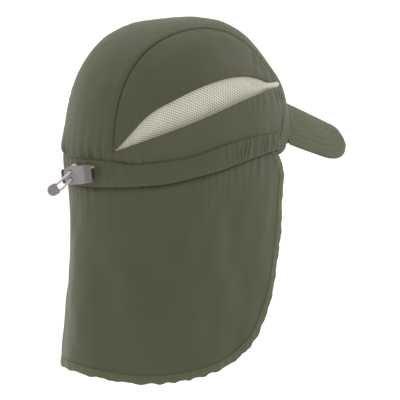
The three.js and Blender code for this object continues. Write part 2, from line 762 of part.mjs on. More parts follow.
function makeCord(route, name) {
  const points = route.map((p) => lockToCap(new THREE.Vector3(...p)));
  const curve = new THREE.CatmullRomCurve3(points, false, 'centripetal');
  const section = new THREE.Shape();
  for (let i = 0; i < cordSides; i += 1) {
    const angle = 2 * Math.PI * i / cordSides;
    const x = 0.5 * cordDiameter * Math.cos(angle);
    const y = 0.5 * cordDiameter * Math.sin(angle);
    if (i === 0) section.moveTo(x, y);
    else section.lineTo(x, y);
  }
  const geometry = new THREE.ExtrudeGeometry(section, { steps: 24, extrudePath: curve, curveSegments: 1 });
  return cloth(name, geometry, cordColour, 0.8);
}

// Cord end: a rounded cap with an open socket that takes the two ends of the drawcord
function makeCordEnd() {
  const toLock = (p) => new THREE.Vector3(...p);
  const rightEnd = toLock(cordRight.at(-1));
  const leftEnd = toLock(cordLeft.at(-1));
  const rightRun = rightEnd.clone().sub(toLock(cordRight.at(-2))).normalize();
  const leftRun = leftEnd.clone().sub(toLock(cordLeft.at(-2))).normalize();
  const run = rightRun.add(leftRun).normalize();
  const across = rightEnd.clone().sub(leftEnd);
  across.addScaledVector(run, -across.dot(run)).normalize();
  const thick = new THREE.Vector3().crossVectors(across, run);
  const mouth = -cordEndSocket;
  const tip = cordEndLength - cordEndSocket;
  const spread = rightEnd.distanceTo(leftEnd) + cordDiameter;
  const shell = blockFromTwoSides(
    roundBox(mouth, tip, -cordEndWidth / 2, cordEndWidth / 2,
      [cordEndMouthRound, cordEndCornerRadius, cordEndCornerRadius, cordEndMouthRound]),
    roundBox(mouth, tip, -cordEndDepth / 2, cordEndDepth / 2,
      [cordEndMouthRound, cordEndTipRound, cordEndTipRound, cordEndMouthRound]),
    cordEndLength,
  );
  const socket = solidOf(box(mouth - 1, seamGap, -cordDiameter / 2 - seamGap, cordDiameter / 2 + seamGap,
    -spread / 2 - seamGap, spread / 2 + seamGap));
  const geometry = geometryOf(shell.subtract(socket));
  const middle = rightEnd.add(leftEnd).multiplyScalar(0.5);
  geometry.applyMatrix4(new THREE.Matrix4().makeBasis(run, thick, across).setPosition(middle));
  return cloth('cord_end', setOnLock(geometry), lockColour, 0.5);
}

const cap = new THREE.Group();
cap.add(makeCentrePanel());
for (const [side, word] of [[1, 'left'], [-1, 'right']]) {
  cap.add(makeUpperPanel(side, `upper_side_panel_${word}`));
  cap.add(makeVentMesh(side, `vent_mesh_${word}`));
  cap.add(makeLowerPanel(side, `lower_side_panel_${word}`));
}
cap.add(makeCasing(), makeNeckFlap(), makeFlapHem(), makePeak());
cap.add(makeCordLock(), makePlunger());
cap.add(makeCord(cordRight, 'drawcord_right'), makeCord(cordLeft, 'drawcord_left'), makeCordEnd());

export default cap;
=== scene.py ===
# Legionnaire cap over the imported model: cloth panels, vent mesh, stitching, cord lock and cords
import math

import bpy
from mathutils import Matrix, Vector, kdtree, noise


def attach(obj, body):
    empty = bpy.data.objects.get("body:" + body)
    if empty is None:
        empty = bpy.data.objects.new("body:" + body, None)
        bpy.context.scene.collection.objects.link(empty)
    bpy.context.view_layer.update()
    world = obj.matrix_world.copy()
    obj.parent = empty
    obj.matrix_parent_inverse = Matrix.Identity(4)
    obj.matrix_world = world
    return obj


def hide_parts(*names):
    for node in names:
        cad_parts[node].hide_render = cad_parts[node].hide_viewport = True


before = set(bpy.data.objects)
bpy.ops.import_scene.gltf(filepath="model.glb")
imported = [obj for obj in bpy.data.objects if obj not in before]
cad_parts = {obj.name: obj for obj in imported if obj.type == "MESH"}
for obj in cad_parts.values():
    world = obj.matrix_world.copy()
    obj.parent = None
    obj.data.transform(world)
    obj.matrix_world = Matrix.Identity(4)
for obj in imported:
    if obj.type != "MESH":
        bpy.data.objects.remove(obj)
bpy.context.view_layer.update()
print("frame loaded:", ", ".join(sorted(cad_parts)))
mm = 0.001   # all places and sizes of the cap are in millimetres, and become metres in its meshes

# Camera, floor and light: the cap hangs as a head would hold it, far above a pale floor
view = {
    "azimuth": 240,
    "elevation": 8,
    "distance": 2.4,
    "lens": 248.4,
    "right": 0.01965,   # the frame's middle, beside the cap's own origin
    "up": -0.01913,
    "floorDrop": -0.75,
    "floorSize": 60,
    "floorGlow": 0.4,
    "skyStrength": 0.8,
    "lights": {   # place, size and power of each
        "topLight": ((0.3, 0.2, 1.6), 1.6, 12),
        "rightLight": ((-0.5, -1.5, 0.7), 1.1, 9),
        "leftLight": ((1.05, 1.1, 0.5), 1.1, 5.5),
    },
}


def unselect():
    if bpy.context.object and bpy.context.object.mode != "OBJECT":
        bpy.ops.object.mode_set(mode="OBJECT")
    bpy.ops.object.select_all(action="DESELECT")


def choose(piece):
    unselect()
    bpy.context.view_layer.objects.active = piece
    piece.select_set(True)


def editAll():
    bpy.ops.object.mode_set(mode="EDIT")
    bpy.ops.mesh.select_all(action="SELECT")


def setCamera():
    a = math.radians(view["azimuth"])
    e = math.radians(view["elevation"])
    right = Vector((math.cos(a), math.sin(a), 0))
    back = Vector((math.sin(a) * math.cos(e), -math.cos(a) * math.cos(e), math.sin(e)))
    up = back.cross(right)
    unselect()
    bpy.ops.object.camera_add()
    camera = bpy.context.object
    camera.name = "photoCamera"
    turn = Matrix((right, up, back)).transposed().to_4x4()
    place = back * view["distance"] + right * view["right"] + up * view["up"]
    camera.matrix_world = Matrix.Translation(place) @ turn
    camera.data.lens = view["lens"]
    camera.data.sensor_width = 36
    camera.data.clip_end = 200
    bpy.context.scene.camera = camera


def addSoftLight(name, place, size, power):
    unselect()
    bpy.ops.object.light_add(type="AREA", location=place)
    light = bpy.context.object
    light.name = name
    light.data.size = size
    light.data.energy = power
    light.rotation_euler = (Vector((0, 0, 0)) - Vector(place)).to_track_quat("-Z", "Y").to_euler()


def setRoom():
    unselect()
    bpy.ops.mesh.primitive_plane_add(size=view["floorSize"], location=(0, 0, view["floorDrop"]))
    floor = bpy.context.object
    floor.name = "floor"
    paint = bpy.data.materials.new("paleFloor")
    paint.use_nodes = True
    shader = paint.node_tree.nodes["Principled BSDF"]
    shader.inputs["Base Color"].default_value = (0.96, 0.96, 0.95, 1)
    shader.inputs["Roughness"].default_value = 0.9
    shader.inputs["Emission Color"].default_value = (1, 1, 1, 1)
    shader.inputs["Emission Strength"].default_value = view["floorGlow"]
    floor.data.materials.append(paint)
    world = bpy.data.worlds.new("paleRoom")
    bpy.context.scene.world = world
    world.use_nodes = True
    sky = world.node_tree.nodes["Background"]
    sky.inputs["Color"].default_value = (1, 1, 1, 1)
    sky.inputs["Strength"].default_value = view["skyStrength"]
    for name, light in view["lights"].items():
        addSoftLight(name, *light)
    bpy.context.scene.view_settings.view_transform = "Standard"


setCamera()
setRoom()
print("camera and room set")


# Shader maths: a wrapped socket, so that colours and bumps are written as plain sums
class Wire:
    def __init__(self, socket):
        self.socket = socket

    def node(self, kind, settings=(), inputs=(), out=0):
        tree = self.socket.id_data
        made = tree.nodes.new(kind)
        for key, value in dict(settings).items():
            setattr(made, key, value)
        for key, value in dict(inputs).items():
            if isinstance(value, Wire):
                tree.links.new(value.socket, made.inputs[key])
            else:
                made.inputs[key].default_value = value
        return Wire(made.outputs[out])

    def maths(self, operation, *values):
        return self.node("ShaderNodeMath", {"operation": operation}, dict(enumerate(values)))

    def __add__(self, other):
        return self.maths("ADD", self, other)

    __radd__ = __add__

    def __sub__(self, other):
        return self.maths("SUBTRACT", self, other)

    def __rsub__(self, other):
        return self.maths("SUBTRACT", other, self)

    def __mul__(self, other):
        return self.maths("MULTIPLY", self, other)

    __rmul__ = __mul__

    def between(self, low, high, toLow=0.0, toHigh=1.0):
        return self.node("ShaderNodeMapRange", {"interpolation_type": "SMOOTHSTEP"}, {
            "Value": self, "From Min": low, "From Max": high, "To Min": toLow, "To Max": toHigh})

    def blend(self, first, second):
        return self.node("ShaderNodeMix", {"data_type": "RGBA"}, {0: self, 6: first, 7: second}, 2)

    def speckle(self, scale, detail, **more):
        return self.node("ShaderNodeTexNoise", (), {"Vector": self, "Scale": scale, "Detail": detail, **more})

    def relief(self, strength, distance, **more):
        return self.node("ShaderNodeBump", (), {
            "Strength": strength, "Distance": distance, "Height": self, **more})

    # the piece's own lengths, in metres: both together, across it and along it
    def lengths(self):
        both = self.node("ShaderNodeUVMap", {"uv_map": "clothLengths"})
        across = both.node("ShaderNodeSeparateXYZ", (), {0: both})
        return both, across, Wire(across.socket.node.outputs[1])


def newMaterial(name, finish):
    material = bpy.data.materials.new(name)
    material.use_nodes = True
    tree = material.node_tree
    shader = tree.nodes["Principled BSDF"]
    for key, value in finish.items():
        shader.inputs[key].default_value = value
    place = Wire(tree.nodes.new("ShaderNodeTexCoord").outputs["Object"])
    return material, shader, place


def feed(shader, key, wire):
    shader.id_data.links.new(wire.socket, shader.inputs[key])


def tint(colour, share):
    return (colour[0] * share, colour[1] * share, colour[2] * share, 1)


# Cloth: a thin plain weave of olive nylon, soft mottling and a fine crumple
clothLook = {
    "colour": (0.06, 0.0625, 0.03),
    "thread": 0.00048,       # width of one thread, in metres
    "weaveDepth": 0.00003,
    "crumpleSize": 55,
    "crumpleDepth": 0.0004,
    "roughness": 0.62,
    "roughnessSpread": 0.06,
    "sheen": 0.12,
    "sheenTint": (0.9, 0.92, 0.72, 1),
}


def clothMaterial(name, share=1.0):
    material, shader, place = newMaterial(name, {
        "Sheen Weight": clothLook["sheen"],
        "Sheen Roughness": 0.45,
        "Sheen Tint": clothLook["sheenTint"],
        "Specular IOR Level": 0.35,
    })
    _, across, along = place.lengths()
    turns = math.pi / clothLook["thread"]
    weave = across.maths("SINE", across * turns) * along.maths("SINE", along * turns)
    mottle = place.speckle(38, 3, Roughness=0.55)
    streak = place.speckle(900, 1)
    tone = mottle.between(0.3, 0.7) * 0.7 + streak.between(0.3, 0.7) * 0.2 + weave * 0.1
    feed(shader, "Base Color", tone.blend(
        tint(clothLook["colour"], 0.93 * share), tint(clothLook["colour"], 1.07 * share)))
    low = clothLook["roughness"] - clothLook["roughnessSpread"]
    high = clothLook["roughness"] + clothLook["roughnessSpread"]
    feed(shader, "Roughness", mottle.between(0.2, 0.8, low, high))
    crumple = place.speckle(clothLook["crumpleSize"], 4, Roughness=0.5, Distortion=0.6)
    soft = crumple.relief(1.0, clothLook["crumpleDepth"])
    feed(shader, "Normal", weave.relief(0.8, clothLook["weaveDepth"], Normal=soft))
    return material


# Vent mesh: a pale knitted honeycomb with open cells, and painted shade round each cell
meshLook = {
    "colour": (0.7, 0.68, 0.56),
    "pitch": 0.0022,
    "lean": math.radians(38),
    "openCell": 0.2,
    "threadCell": 0.42,
}


def meshMaterial():
    material, shader, place = newMaterial("ventMesh", {
        "Roughness": 0.8, "Sheen Weight": 0.2, "Specular IOR Level": 0.3})
    lie, _, _ = place.lengths()
    turned = lie.node("ShaderNodeMapping", (), {
        "Vector": lie, "Rotation": (0, 0, meshLook["lean"]), "Scale": [1 / meshLook["pitch"]] * 3})
    cells = []
    for shift in (0, 1):
        moved = turned.node("ShaderNodeVectorMath", {"operation": "ADD"}, {
            0: turned, 1: (0.5 * shift, 0.866 * shift, 0)})
        cell = turned.node("ShaderNodeVectorMath", {"operation": "WRAP"}, {
            0: moved, 1: (0.5, 0.866, 1), 2: (-0.5, -0.866, -1)})
        flat = turned.node("ShaderNodeVectorMath", {"operation": "MULTIPLY"}, {0: cell, 1: (1, 1, 0)})
        cells.append(turned.node("ShaderNodeVectorMath", {"operation": "LENGTH"}, {0: flat}, 1))
    far = cells[0].maths("MINIMUM", cells[0], cells[1])
    # the thread's colour falls to 0.3 of itself at the rim of each open cell: painted shade round the holes
    thread = far.between(meshLook["openCell"], meshLook["threadCell"])
    shade = thread * 0.8 + place.speckle(60, 3) * 0.2
    feed(shader, "Base Color", shade.blend(tint(meshLook["colour"], 0.3), tint(meshLook["colour"], 1.05)))
    feed(shader, "Alpha", far.between(meshLook["openCell"] - 0.06, meshLook["openCell"]))
    feed(shader, "Normal", thread.relief(0.7, 0.0002))
    return material


# Moulded plastic of the cord lock and the cord end
plasticLook = {
    "lock": (0.215, 0.196, 0.194),
    "plunger": (0.10, 0.09, 0.095),
    "grain": 1800,
}


def plasticMaterial(name, colour, roughness):
    material, shader, place = newMaterial(name, {"Specular IOR Level": 0.5, "Coat Roughness": 0.35})
    grain = place.speckle(plasticLook["grain"], 2)
    wear = place.speckle(260, 4, Roughness=0.6)
    tone = wear.between(0.35, 0.65) * 0.8 + grain * 0.2
    feed(shader, "Base Color", tone.blend(tint(colour, 0.93), tint(colour, 1.06)))
    feed(shader, "Roughness", wear.between(0.3, 0.7, roughness - 0.06, roughness + 0.08))
    feed(shader, "Normal", grain.relief(0.35, 0.00003))
    return material


# Braided elastic cord, whose strands cross on its own length
cordLook = {
    "colour": (0.55, 0.5, 0.475),
    "strands": 6,
    "lay": 0.0031,
}


def braidMaterial():
    material, shader, place = newMaterial("braidedCord", {
        "Roughness": 0.75, "Sheen Weight": 0.3, "Specular IOR Level": 0.3})
    _, across, run = place.lengths()
    along = across * (2 * math.pi / cordLook["lay"])
    winding = run * (math.pi * cordLook["strands"])
    braid = along.maths("SINE", along + winding) * along.maths("SINE", along - winding)
    tone = braid.between(-0.7, 0.7)
    feed(shader, "Base Color", tone.blend(tint(cordLook["colour"], 0.72), tint(cordLook["colour"], 1.08)))
    feed(shader, "Normal", braid.relief(0.8, 0.00012))
    return material


def threadMaterial(name, colour):
    material, shader, place = newMaterial(name, {"Roughness": 0.55, "Sheen Weight": 0.2})
    twist = place.speckle(2400, 2)
    feed(shader, "Base Color", twist.blend(tint(colour, 0.8), tint(colour, 1.15)))
    feed(shader, "Normal", twist.relief(0.5, 0.00004))
    return material


# The flap and casing, the peak and the hem are the same olive cloth as the crown: the flap's and casing's
# share of 0.96 is painted shade, and the peak's 1.16 and the hem's 1.35 are painted light
crownCloth = clothMaterial("crownCloth")
flapCloth = clothMaterial("flapCloth", 0.96)
peakCloth = clothMaterial("peakCloth", 1.16)
hemCloth = clothMaterial("hemCloth", 1.35)
ventMesh = meshMaterial()
lockPlastic = plasticMaterial("lockPlastic", plasticLook["lock"], 0.42)
plungerPlastic = plasticMaterial("plungerPlastic", plasticLook["plunger"], 0.38)
braidedCord = braidMaterial()
sewingThread = threadMaterial("sewingThread", (0.085, 0.088, 0.048))
print("materials made")

# The crown's own surface, in millimetres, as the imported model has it
crown = {
    "halfWidth": 80,
    "halfLength": 100.5,
    "rise": 119.5,
    "fullness": 2.55,
    "level": 21.5,
    "tilt": math.radians(4.8),
    "swell": 4.5,
    "swellTurn": 150,
    "swellSpread": 28,
    "swellFade": (0.4, 0.68),
}
seamHalf = 44
ventHeight = 53
casingHeight = 22
casingEnd = 134.5
casingLap = 9

centreRows = [
    (-0.1, 0.985), (0.1, 0.985), (0.3, 0.96), (0.45, 0.9), (0.56, 0.86), (0.67, 0.95), (0.8, 1.07),
    (0.87, 1.215), (0.93, 1.375), (0.965, 1.45), (1.1, 1.47),
]
ventRows = [
    (0, 0.34, 0.34), (0.06, 0.57, 0.42), (0.16, 0.9, 0.53), (0.3, 1.11, 0.66), (0.45, 1.25, 0.79),
    (0.6, 1.315, 0.9), (0.72, 1.31, 0.965), (0.83, 1.24, 0.995), (0.93, 1.09, 0.995), (1, 0.98, 0.98),
]
casingRows = [
    (0, -0.55, 0.49), (0.166, -0.53, 0.5), (0.277, -0.52, 0.36), (0.388, -0.51, 0.38), (0.532, -0.36, 0.47),
    (0.643, -0.24, 0.67), (0.753, -0.08, 0.79), (0.886, 0.06, 0.8), (1, 0.1, 0.68),
]


def readRows(rows, column=1):
    at = [row[0] for row in rows]
    value = [row[column] for row in rows]
    last = len(at) - 1
    slope = []
    for i in range(last + 1):
        a = max(i - 1, 0)
        b = min(i + 1, last)
        slope.append((value[b] - value[a]) / (at[b] - at[a]))

    def read(x):
        i = 0
        while i < last - 1 and x >= at[i + 1]:
            i += 1
        span = at[i + 1] - at[i]
        t = min(max((x - at[i]) / span, 0), 1)
        first = (2 * t ** 3 - 3 * t * t + 1) * value[i] + (t ** 3 - 2 * t * t + t) * span * slope[i]
        second = (3 * t * t - 2 * t ** 3) * value[i + 1] + (t ** 3 - t * t) * span * slope[i + 1]
        return first + second

    return read


centreHalf = readRows(centreRows)
ventUpper = readRows(ventRows, 1)
ventLower = readRows(ventRows, 2)
casingLower = readRows(casingRows, 1)
casingUpper = readRows(casingRows, 2)


def mix(a, b, t):
    return a + (b - a) * t


def ease(x, low, high):
    t = min(max((x - low) / (high - low), 0), 1)
    return t * t * (3 - 2 * t)


def bump(x, middle, width):
    return math.exp(-((x - middle) / width) ** 2)


def crownValue(p):
    flat = math.hypot(p.x / crown["halfWidth"], p.y / crown["halfLength"]) ** crown["fullness"]
    return flat + (max(p.z, 0) / crown["rise"]) ** crown["fullness"]


def ontoCrown(p):
    return p * crownValue(p) ** (-1 / crown["fullness"])


def crownNormal(p):
    flat = math.hypot(p.x / crown["halfWidth"], p.y / crown["halfLength"])
    side = max(flat, 1e-9) ** (crown["fullness"] - 2)
    up = (max(p.z, 0) / crown["rise"]) ** (crown["fullness"] - 1) / crown["rise"]
    across = side * p.x / crown["halfWidth"] ** 2
    return Vector((across, side * p.y / crown["halfLength"] ** 2, up)).normalized()


# How far the crown has drawn in at a height, as a share
def narrowing(height):
    return (1 - (max(height, 0) / crown["rise"]) ** crown["fullness"]) ** (1 / crown["fullness"])


# A point's turn round the head from the middle of the back, in degrees
def turnOf(p):
    return math.degrees(math.atan2(-p.x, p.y))


def crownAt(turn, height):
    angle = math.radians(turn)
    across = math.sin(angle) / crown["halfWidth"]
    radius = narrowing(height) / math.hypot(across, math.cos(angle) / crown["halfLength"])
    return Vector((-radius * math.sin(angle), radius * math.cos(angle), height))


def crownOver(x, angle):
    near = 0
    far = 2 * crown["halfLength"]
    for _ in range(34):
        middle = (near + far) / 2
        if crownValue(Vector((x, middle * math.cos(angle), middle * math.sin(angle)))) < 1:
            near = middle
        else:
            far = middle
    return Vector((x, near * math.cos(angle), near * math.sin(angle)))


def cornerRise(p):
    corner = bump(abs(turnOf(p)), crown["swellTurn"], crown["swellSpread"])
    return crown["swell"] * corner * (1 - ease(p.z / crown["rise"], *crown["swellFade"]))


def outFromCrown(p, distance):
    return p + crownNormal(p) * (distance + cornerRise(p))


tiltMatrix = Matrix.Rotation(-crown["tilt"], 3, "X")


def toCap(p):
    return tiltMatrix @ p + Vector((0, 0, crown["level"]))


def casingEdge(turn, edge):
    return casingHeight * edge(abs(turn) / casingEnd)


def crownHem(turn):
    return casingEdge(min(max(turn, -casingEnd), casingEnd), casingLower) + casingLap


def seamAt(side, angle):
    return crownOver(side * seamHalf * centreHalf(angle / math.pi), angle)


def seamAngle(height, atBack):
    low = -0.5 if atBack else math.pi + 0.5
    high = math.pi / 2
    for _ in range(40):
        middle = (low + high) / 2
        if seamAt(1, middle).z < height:
            low = middle
        else:
            high = middle
    return high


def seamTurn(height, atBack):
    return turnOf(seamAt(-1, seamAngle(height, atBack)))


ventBack = seamTurn(ventHeight * ventUpper(0), True)
ventFront = seamTurn(ventHeight * ventUpper(1), False)


def ventPoint(side, along, edge):
    return crownAt(-side * mix(ventBack, ventFront, along), ventHeight * edge(along))


# Irregular small waves along a seam, about -1 to 1
def pucker(along, spacing, seed):
    drift = noise.noise(Vector((along / (4 * spacing), seed, 0.3)))
    swing = 0.65 + 0.6 * noise.noise(Vector((along / (2.3 * spacing), seed, 7.1)))
    return math.sin(2 * math.pi * (along / spacing + 1.3 * drift)) * swing


def softFold(p, size, seed):
    return noise.noise(Vector((p.x / size + seed, p.y / size, p.z / size)))


# Slack cloth: broad folds, with shorter creases that lean across them
def slack(p, seed):
    lean = Vector((p.x + 0.5 * p.z, p.y - 0.5 * p.z, 0.45 * p.z))
    return softFold(p, 42, seed) + 0.42 * softFold(lean, 15, seed + 3) + 0.14 * softFold(lean, 6.5, seed + 5)


# Shares from 0 to 1 that lie closer together at both ends
def closeEnds(count, tight=0.85):
    return [i / count - tight * math.sin(2 * math.pi * i / count) / (2 * math.pi) for i in range(count + 1)]


def evenShares(count):
    return [i / count for i in range(count + 1)]


# The way out of the head from a point of the cap
def outward(p):
    return p - Vector((0, 0, min(p.z, 30)))


def finish(piece, name, material, slot, node="", body="cap"):
    piece.name = name
    piece.data.name = name
    piece.data.materials.clear()
    piece.data.materials.append(material)
    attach(piece, body)
    if node:
        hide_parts(node)
    return piece


def applyAll(piece):
    choose(piece)
    for modifier in list(piece.modifiers):
        bpy.ops.object.modifier_apply(modifier=modifier.name)


def smooth(piece, angle=40):
    choose(piece)
    bpy.ops.object.shade_smooth_by_angle(angle=math.radians(angle))


def runningLengths(points, unit=1):
    lengths = [0]
    for a, b in zip(points, points[1:]):
        lengths.append(lengths[-1] + (b - a).length * unit)
    return lengths


# A grid with corner i, j at spot(i, j), and its lengths kept in a map for the weave, mesh or braid
def layGrid(spot, across, along):
    unselect()
    wide = len(across) - 1
    tall = len(along) - 1
    bpy.ops.mesh.primitive_grid_add(x_subdivisions=wide, y_subdivisions=tall, size=1)
    piece = bpy.context.object
    for vertex in piece.data.vertices:
        vertex.co = spot(round((vertex.co.x + 0.5) * wide), round((vertex.co.y + 0.5) * tall)) * mm
    layer = piece.data.uv_layers[0]
    layer.name = "clothLengths"
    for entry in layer.data:
        entry.uv = (across[round(entry.uv.x * wide)], along[round(entry.uv.y * tall)])
    piece.data.update()
    return piece


# A panel of cloth, laid where place says, with its wall on the inside
def layPanel(columns, rows, place, wall):
    grid = [[place(u, v) for v in rows] for u in columns]
    wide = len(columns) - 1
    tall = len(rows) - 1
    across = runningLengths([line[tall // 2] for line in grid], mm)
    panel = layGrid(lambda i, j: grid[i][j], across, runningLengths(grid[wide // 2], mm))
    middle = grid[wide // 2][tall // 2]
    step = (grid[wide // 2 + 1][tall // 2] - middle).cross(grid[wide // 2][tall // 2 + 1] - middle)
    if step.dot(outward(middle)) < 0:
        panel.data.flip_normals()
    thick = panel.modifiers.new("wall", "SOLIDIFY")
    thick.thickness = wall * mm
    thick.offset = -1
    applyAll(panel)
    smooth(panel)
    panel["area"] = sum((grid[i + 1][j] - grid[i][j]).cross(grid[i][j + 1] - grid[i][j]).length
                        for i in range(wide) for j in range(tall)) * mm ** 2
    return panel


# A closed band: rings of points, one for each station, joined and capped at both ends
def sweepBand(rings):
    around = len(rings[0])
    middle = rings[(len(rings) - 1) // 2]
    girth = runningLengths([*middle, middle[0]], mm)
    band = layGrid(lambda i, j: rings[j][i % around], girth, runningLengths([ring[0] for ring in rings], mm))
    bpy.context.view_layer.objects.active = band
    editAll()
    bpy.ops.mesh.remove_doubles(threshold=0.000001)
    bpy.ops.mesh.fill_holes(sides=0)
    bpy.ops.mesh.select_all(action="SELECT")
    bpy.ops.mesh.normals_make_consistent(inside=False)
    bpy.ops.object.mode_set(mode="OBJECT")
    smooth(band, 50)
    return band


# Stitching: one small thread loop, modelled once and copied along every sewn row
stitching = {
    "length": 2.3,
    "pitch": 3.1,
    "width": 0.5,
    "proud": 0.12,
}


def modelStitch():
    unselect()
    bpy.ops.mesh.primitive_uv_sphere_add(segments=6, ring_count=5, radius=0.5)
    stitch = bpy.context.object
    editAll()
    bpy.ops.transform.rotate(value=math.radians(90), orient_axis="Y", center_override=(0, 0, 0))
    bpy.ops.transform.resize(value=(stitching["length"], stitching["width"], stitching["width"]))
    bpy.ops.object.mode_set(mode="OBJECT")
    corners = [v.co.copy() for v in stitch.data.vertices]
    faces = [tuple(f.vertices) for f in stitch.data.polygons]
    bpy.data.objects.remove(stitch)
    return corners, faces


stitchCorners, stitchFaces = modelStitch()


def sew(name, rows, slot="crown_cloth"):
    corners = []
    faces = []
    for line in rows:
        gone = 0
        due = stitching["pitch"] / 2
        for k in range(len(line) - 1):
            start, startUp = line[k]
            end, endUp = line[k + 1]
            step = (end - start).length
            while step > 1e-6 and gone + step >= due:
                t = (due - gone) / step
                up = mix(startUp, endUp, t).normalized()
                ahead = (end - start).normalized()
                side = up.cross(ahead).normalized()
                place = Matrix((ahead, side, ahead.cross(side))).transposed()
                middle = mix(start, end, t) + up * stitching["proud"]
                base = len(corners)
                corners.extend((middle + place @ c) * mm for c in stitchCorners)
                faces.extend(tuple(base + i for i in f) for f in stitchFaces)
                due += stitching["pitch"]
            gone += step
    mesh = bpy.data.meshes.new(name)
    mesh.from_pydata([tuple(c) for c in corners], [], faces)
    piece = bpy.data.objects.new(name, mesh)
    bpy.context.collection.objects.link(piece)
    for face in mesh.polygons:
        face.use_smooth = True
    return finish(piece, name, sewingThread, slot)


def faceOut(p, up):
    return up if up.dot(outward(p)) > 0 else -up


# A row of places on a panel, each with the way that the cloth's outer face looks there
def rowOn(place, shares):
    line = []
    for u, v in shares:
        here = place(u, v)
        du = place(min(u + 0.002, 1), v) - place(max(u - 0.002, 0), v)
        dv = place(u, min(v + 0.002, 1)) - place(u, max(v - 0.002, 0))
        line.append((here, faceOut(here, du.cross(dv).normalized())))
    return line


# Drawcord: two strands from the casing through the cord lock to the cord end
cords = {
    "diameter": 2.0,
    "turn": math.radians(18),
    "roll": math.radians(9),
    "place": (-20.4, 108.1, 12.1),
    "right": [
        (-11.6, -9.6, 5.2), (-10.4, -8.8, 5.1), (-8.8, -7.9, 4.9), (-6.8, -7.4, 4.5), (-4.4, -7.3, 4),
        (-2, -7.3, 3.5), (0, -7.2, 3.2), (1.4, -6.5, 3.1), (2.6, -5.3, 3.1), (3.3, -3.7, 3.1),
        (3.4, -2, 3.1), (3.4, 0, 3.1), (3.4, 4.2, 3.1), (3.7, 6.3, 2.5), (4.7, 8.2, 1.1),
        (6.6, 10.5, -0.9), (8.6, 12.9, -3.4), (10.5, 15.4, -5.6), (12.1, 17.4, -6.9),
    ],
    "left": [
        (18.5, -12.4, 1.4), (17.7, -11.2, 2.1), (16.8, -10.1, 3.4), (15.5, -9.1, 5.5), (13.6, -8.5, 7.6),
        (11.1, -8.3, 8.6), (8.7, -8.1, 7.6), (7.1, -7.9, 5.4), (6.1, -7.8, 3), (5.3, -7.6, 0.8),
        (4.4, -7, -1), (3.7, -5.8, -2.4), (3.42, -4.3, -3), (3.4, -2.5, -3.1), (3.4, 4.2, -3.1),
        (3.75, 6.4, -3.9), (4.7, 8.7, -5.7), (5.8, 10.8, -7.9), (7, 12.6, -9.6), (8.4, 14.5, -10.7),
        (9.9, 16.4, -11.6),
    ],
}
lockFrame = Matrix.Translation(Vector(cords["place"])) @ Matrix.Rotation(cords["turn"], 4, "Z")
lockFrame = lockFrame @ Matrix.Rotation(cords["roll"], 4, "Y")


# A place on the curve from b to c that leaves along go and arrives along come
def onCurve(b, c, go, come, t):
    return b + go * t + (b * -3 + c * 3 - go * 2 - come) * t * t + (b * 2 - c * 2 + go + come) * t ** 3


# A smooth curve through the points, with even parameter steps between them
def throughPoints(points, each):
    ends = [points[0] * 2 - points[1], *points, points[-1] * 2 - points[-2]]
    line = []
    for k in range(1, len(ends) - 2):
        a, b, c, d = ends[k - 1:k + 3]
        ab, bc, cd = (max((q - p).length ** 0.5, 1e-4) for p, q in ((a, b), (b, c), (c, d)))
        go = ((b - a) / ab - (c - a) / (ab + bc) + (c - b) / bc) * bc
        come = ((c - b) / bc - (d - b) / (bc + cd) + (d - c) / cd) * bc
        line.extend(onCurve(b, c, go, come, i / each) for i in range(each))
    line.append(points[-1].copy())
    return line


def makeCord(name, key, node):
    route = throughPoints([lockFrame @ Vector(p) for p in cords[key]], 5)
    rings = []
    side = Vector((0, 0, 1))
    for k, here in enumerate(route):
        ahead = (route[min(k + 1, len(route) - 1)] - route[max(k - 1, 0)]).normalized()
        side = (side - ahead * side.dot(ahead)).normalized()
        other = ahead.cross(side)
        rings.append([here + (side * math.cos(a) + other * math.sin(a)) * cords["diameter"] / 2
                      for a in (2 * math.pi * i / 14 for i in range(14))])
    cord = finish(sweepBand(rings), name, braidedCord, "cord", node)
    tuple(route[0] * mm)
    runningLengths(route)[-1] * mm
    [tuple(p * mm) for p in route]


# Cord end: a small moulded cap with an open socket
cordEnd = {
    "low": (-2, -3, -4.7),
    "high": (7.4, 3, 4.7),
    "tipRound": 4.4,
    "mouthRound": 1.6,
    "edgeRound": 1.7,
    "socket": ((-3, -1.3, -3.9), (0.3, 1.3, 3.9)),
}


def makeCordEnd():
    rightEnd, rightBefore = Vector(cords["right"][-1]), Vector(cords["right"][-2])
    leftEnd, leftBefore = Vector(cords["left"][-1]), Vector(cords["left"][-2])
    run = ((rightEnd - rightBefore).normalized() + (leftEnd - leftBefore).normalized()).normalized()
    across = rightEnd - leftEnd
    across = (across - run * across.dot(run)).normalized()
    thick = across.cross(run)
    piece = addBlock(cordEnd["low"], cordEnd["high"])
    roundEnd(piece, 1, 7, cordEnd["tipRound"], 8)
    roundEnd(piece, -1, 1.9, cordEnd["mouthRound"], 4)
    softenEdges(piece, cordEnd["edgeRound"], 6)
    cutAway(piece, addBlock(*cordEnd["socket"]))
    softenEdges(piece, 0.2, 2)
    place = Matrix((run, thick, across)).transposed().to_4x4()
    place.translation = (rightEnd + leftEnd) / 2
    settle(piece, lockFrame @ place)
    smooth(piece, 45)
    return finish(piece, "cordEnd", lockPlastic, "lock_plastic", "cord_end")


# Helpers for the hard pieces, which are modelled in millimetres and settled into place in metres
def pick(piece, kind, wanted):
    bpy.context.view_layer.objects.active = piece
    piece.select_set(True)
    bpy.ops.object.mode_set(mode="EDIT")
    bpy.ops.mesh.select_mode(type=kind)
    bpy.ops.mesh.select_all(action="DESELECT")
    bpy.ops.object.mode_set(mode="OBJECT")
    mesh = piece.data
    if kind == "EDGE":
        for edge in mesh.edges:
            edge.select = wanted(*(mesh.vertices[k].co for k in edge.vertices))
    else:
        for face in mesh.polygons:
            face.select = wanted(face.center, face.normal)
    bpy.ops.object.mode_set(mode="EDIT")


def bevelPicked(width, segments):
    bpy.ops.mesh.bevel(offset=width, segments=segments, profile=0.5, clamp_overlap=True)
    bpy.ops.object.mode_set(mode="OBJECT")


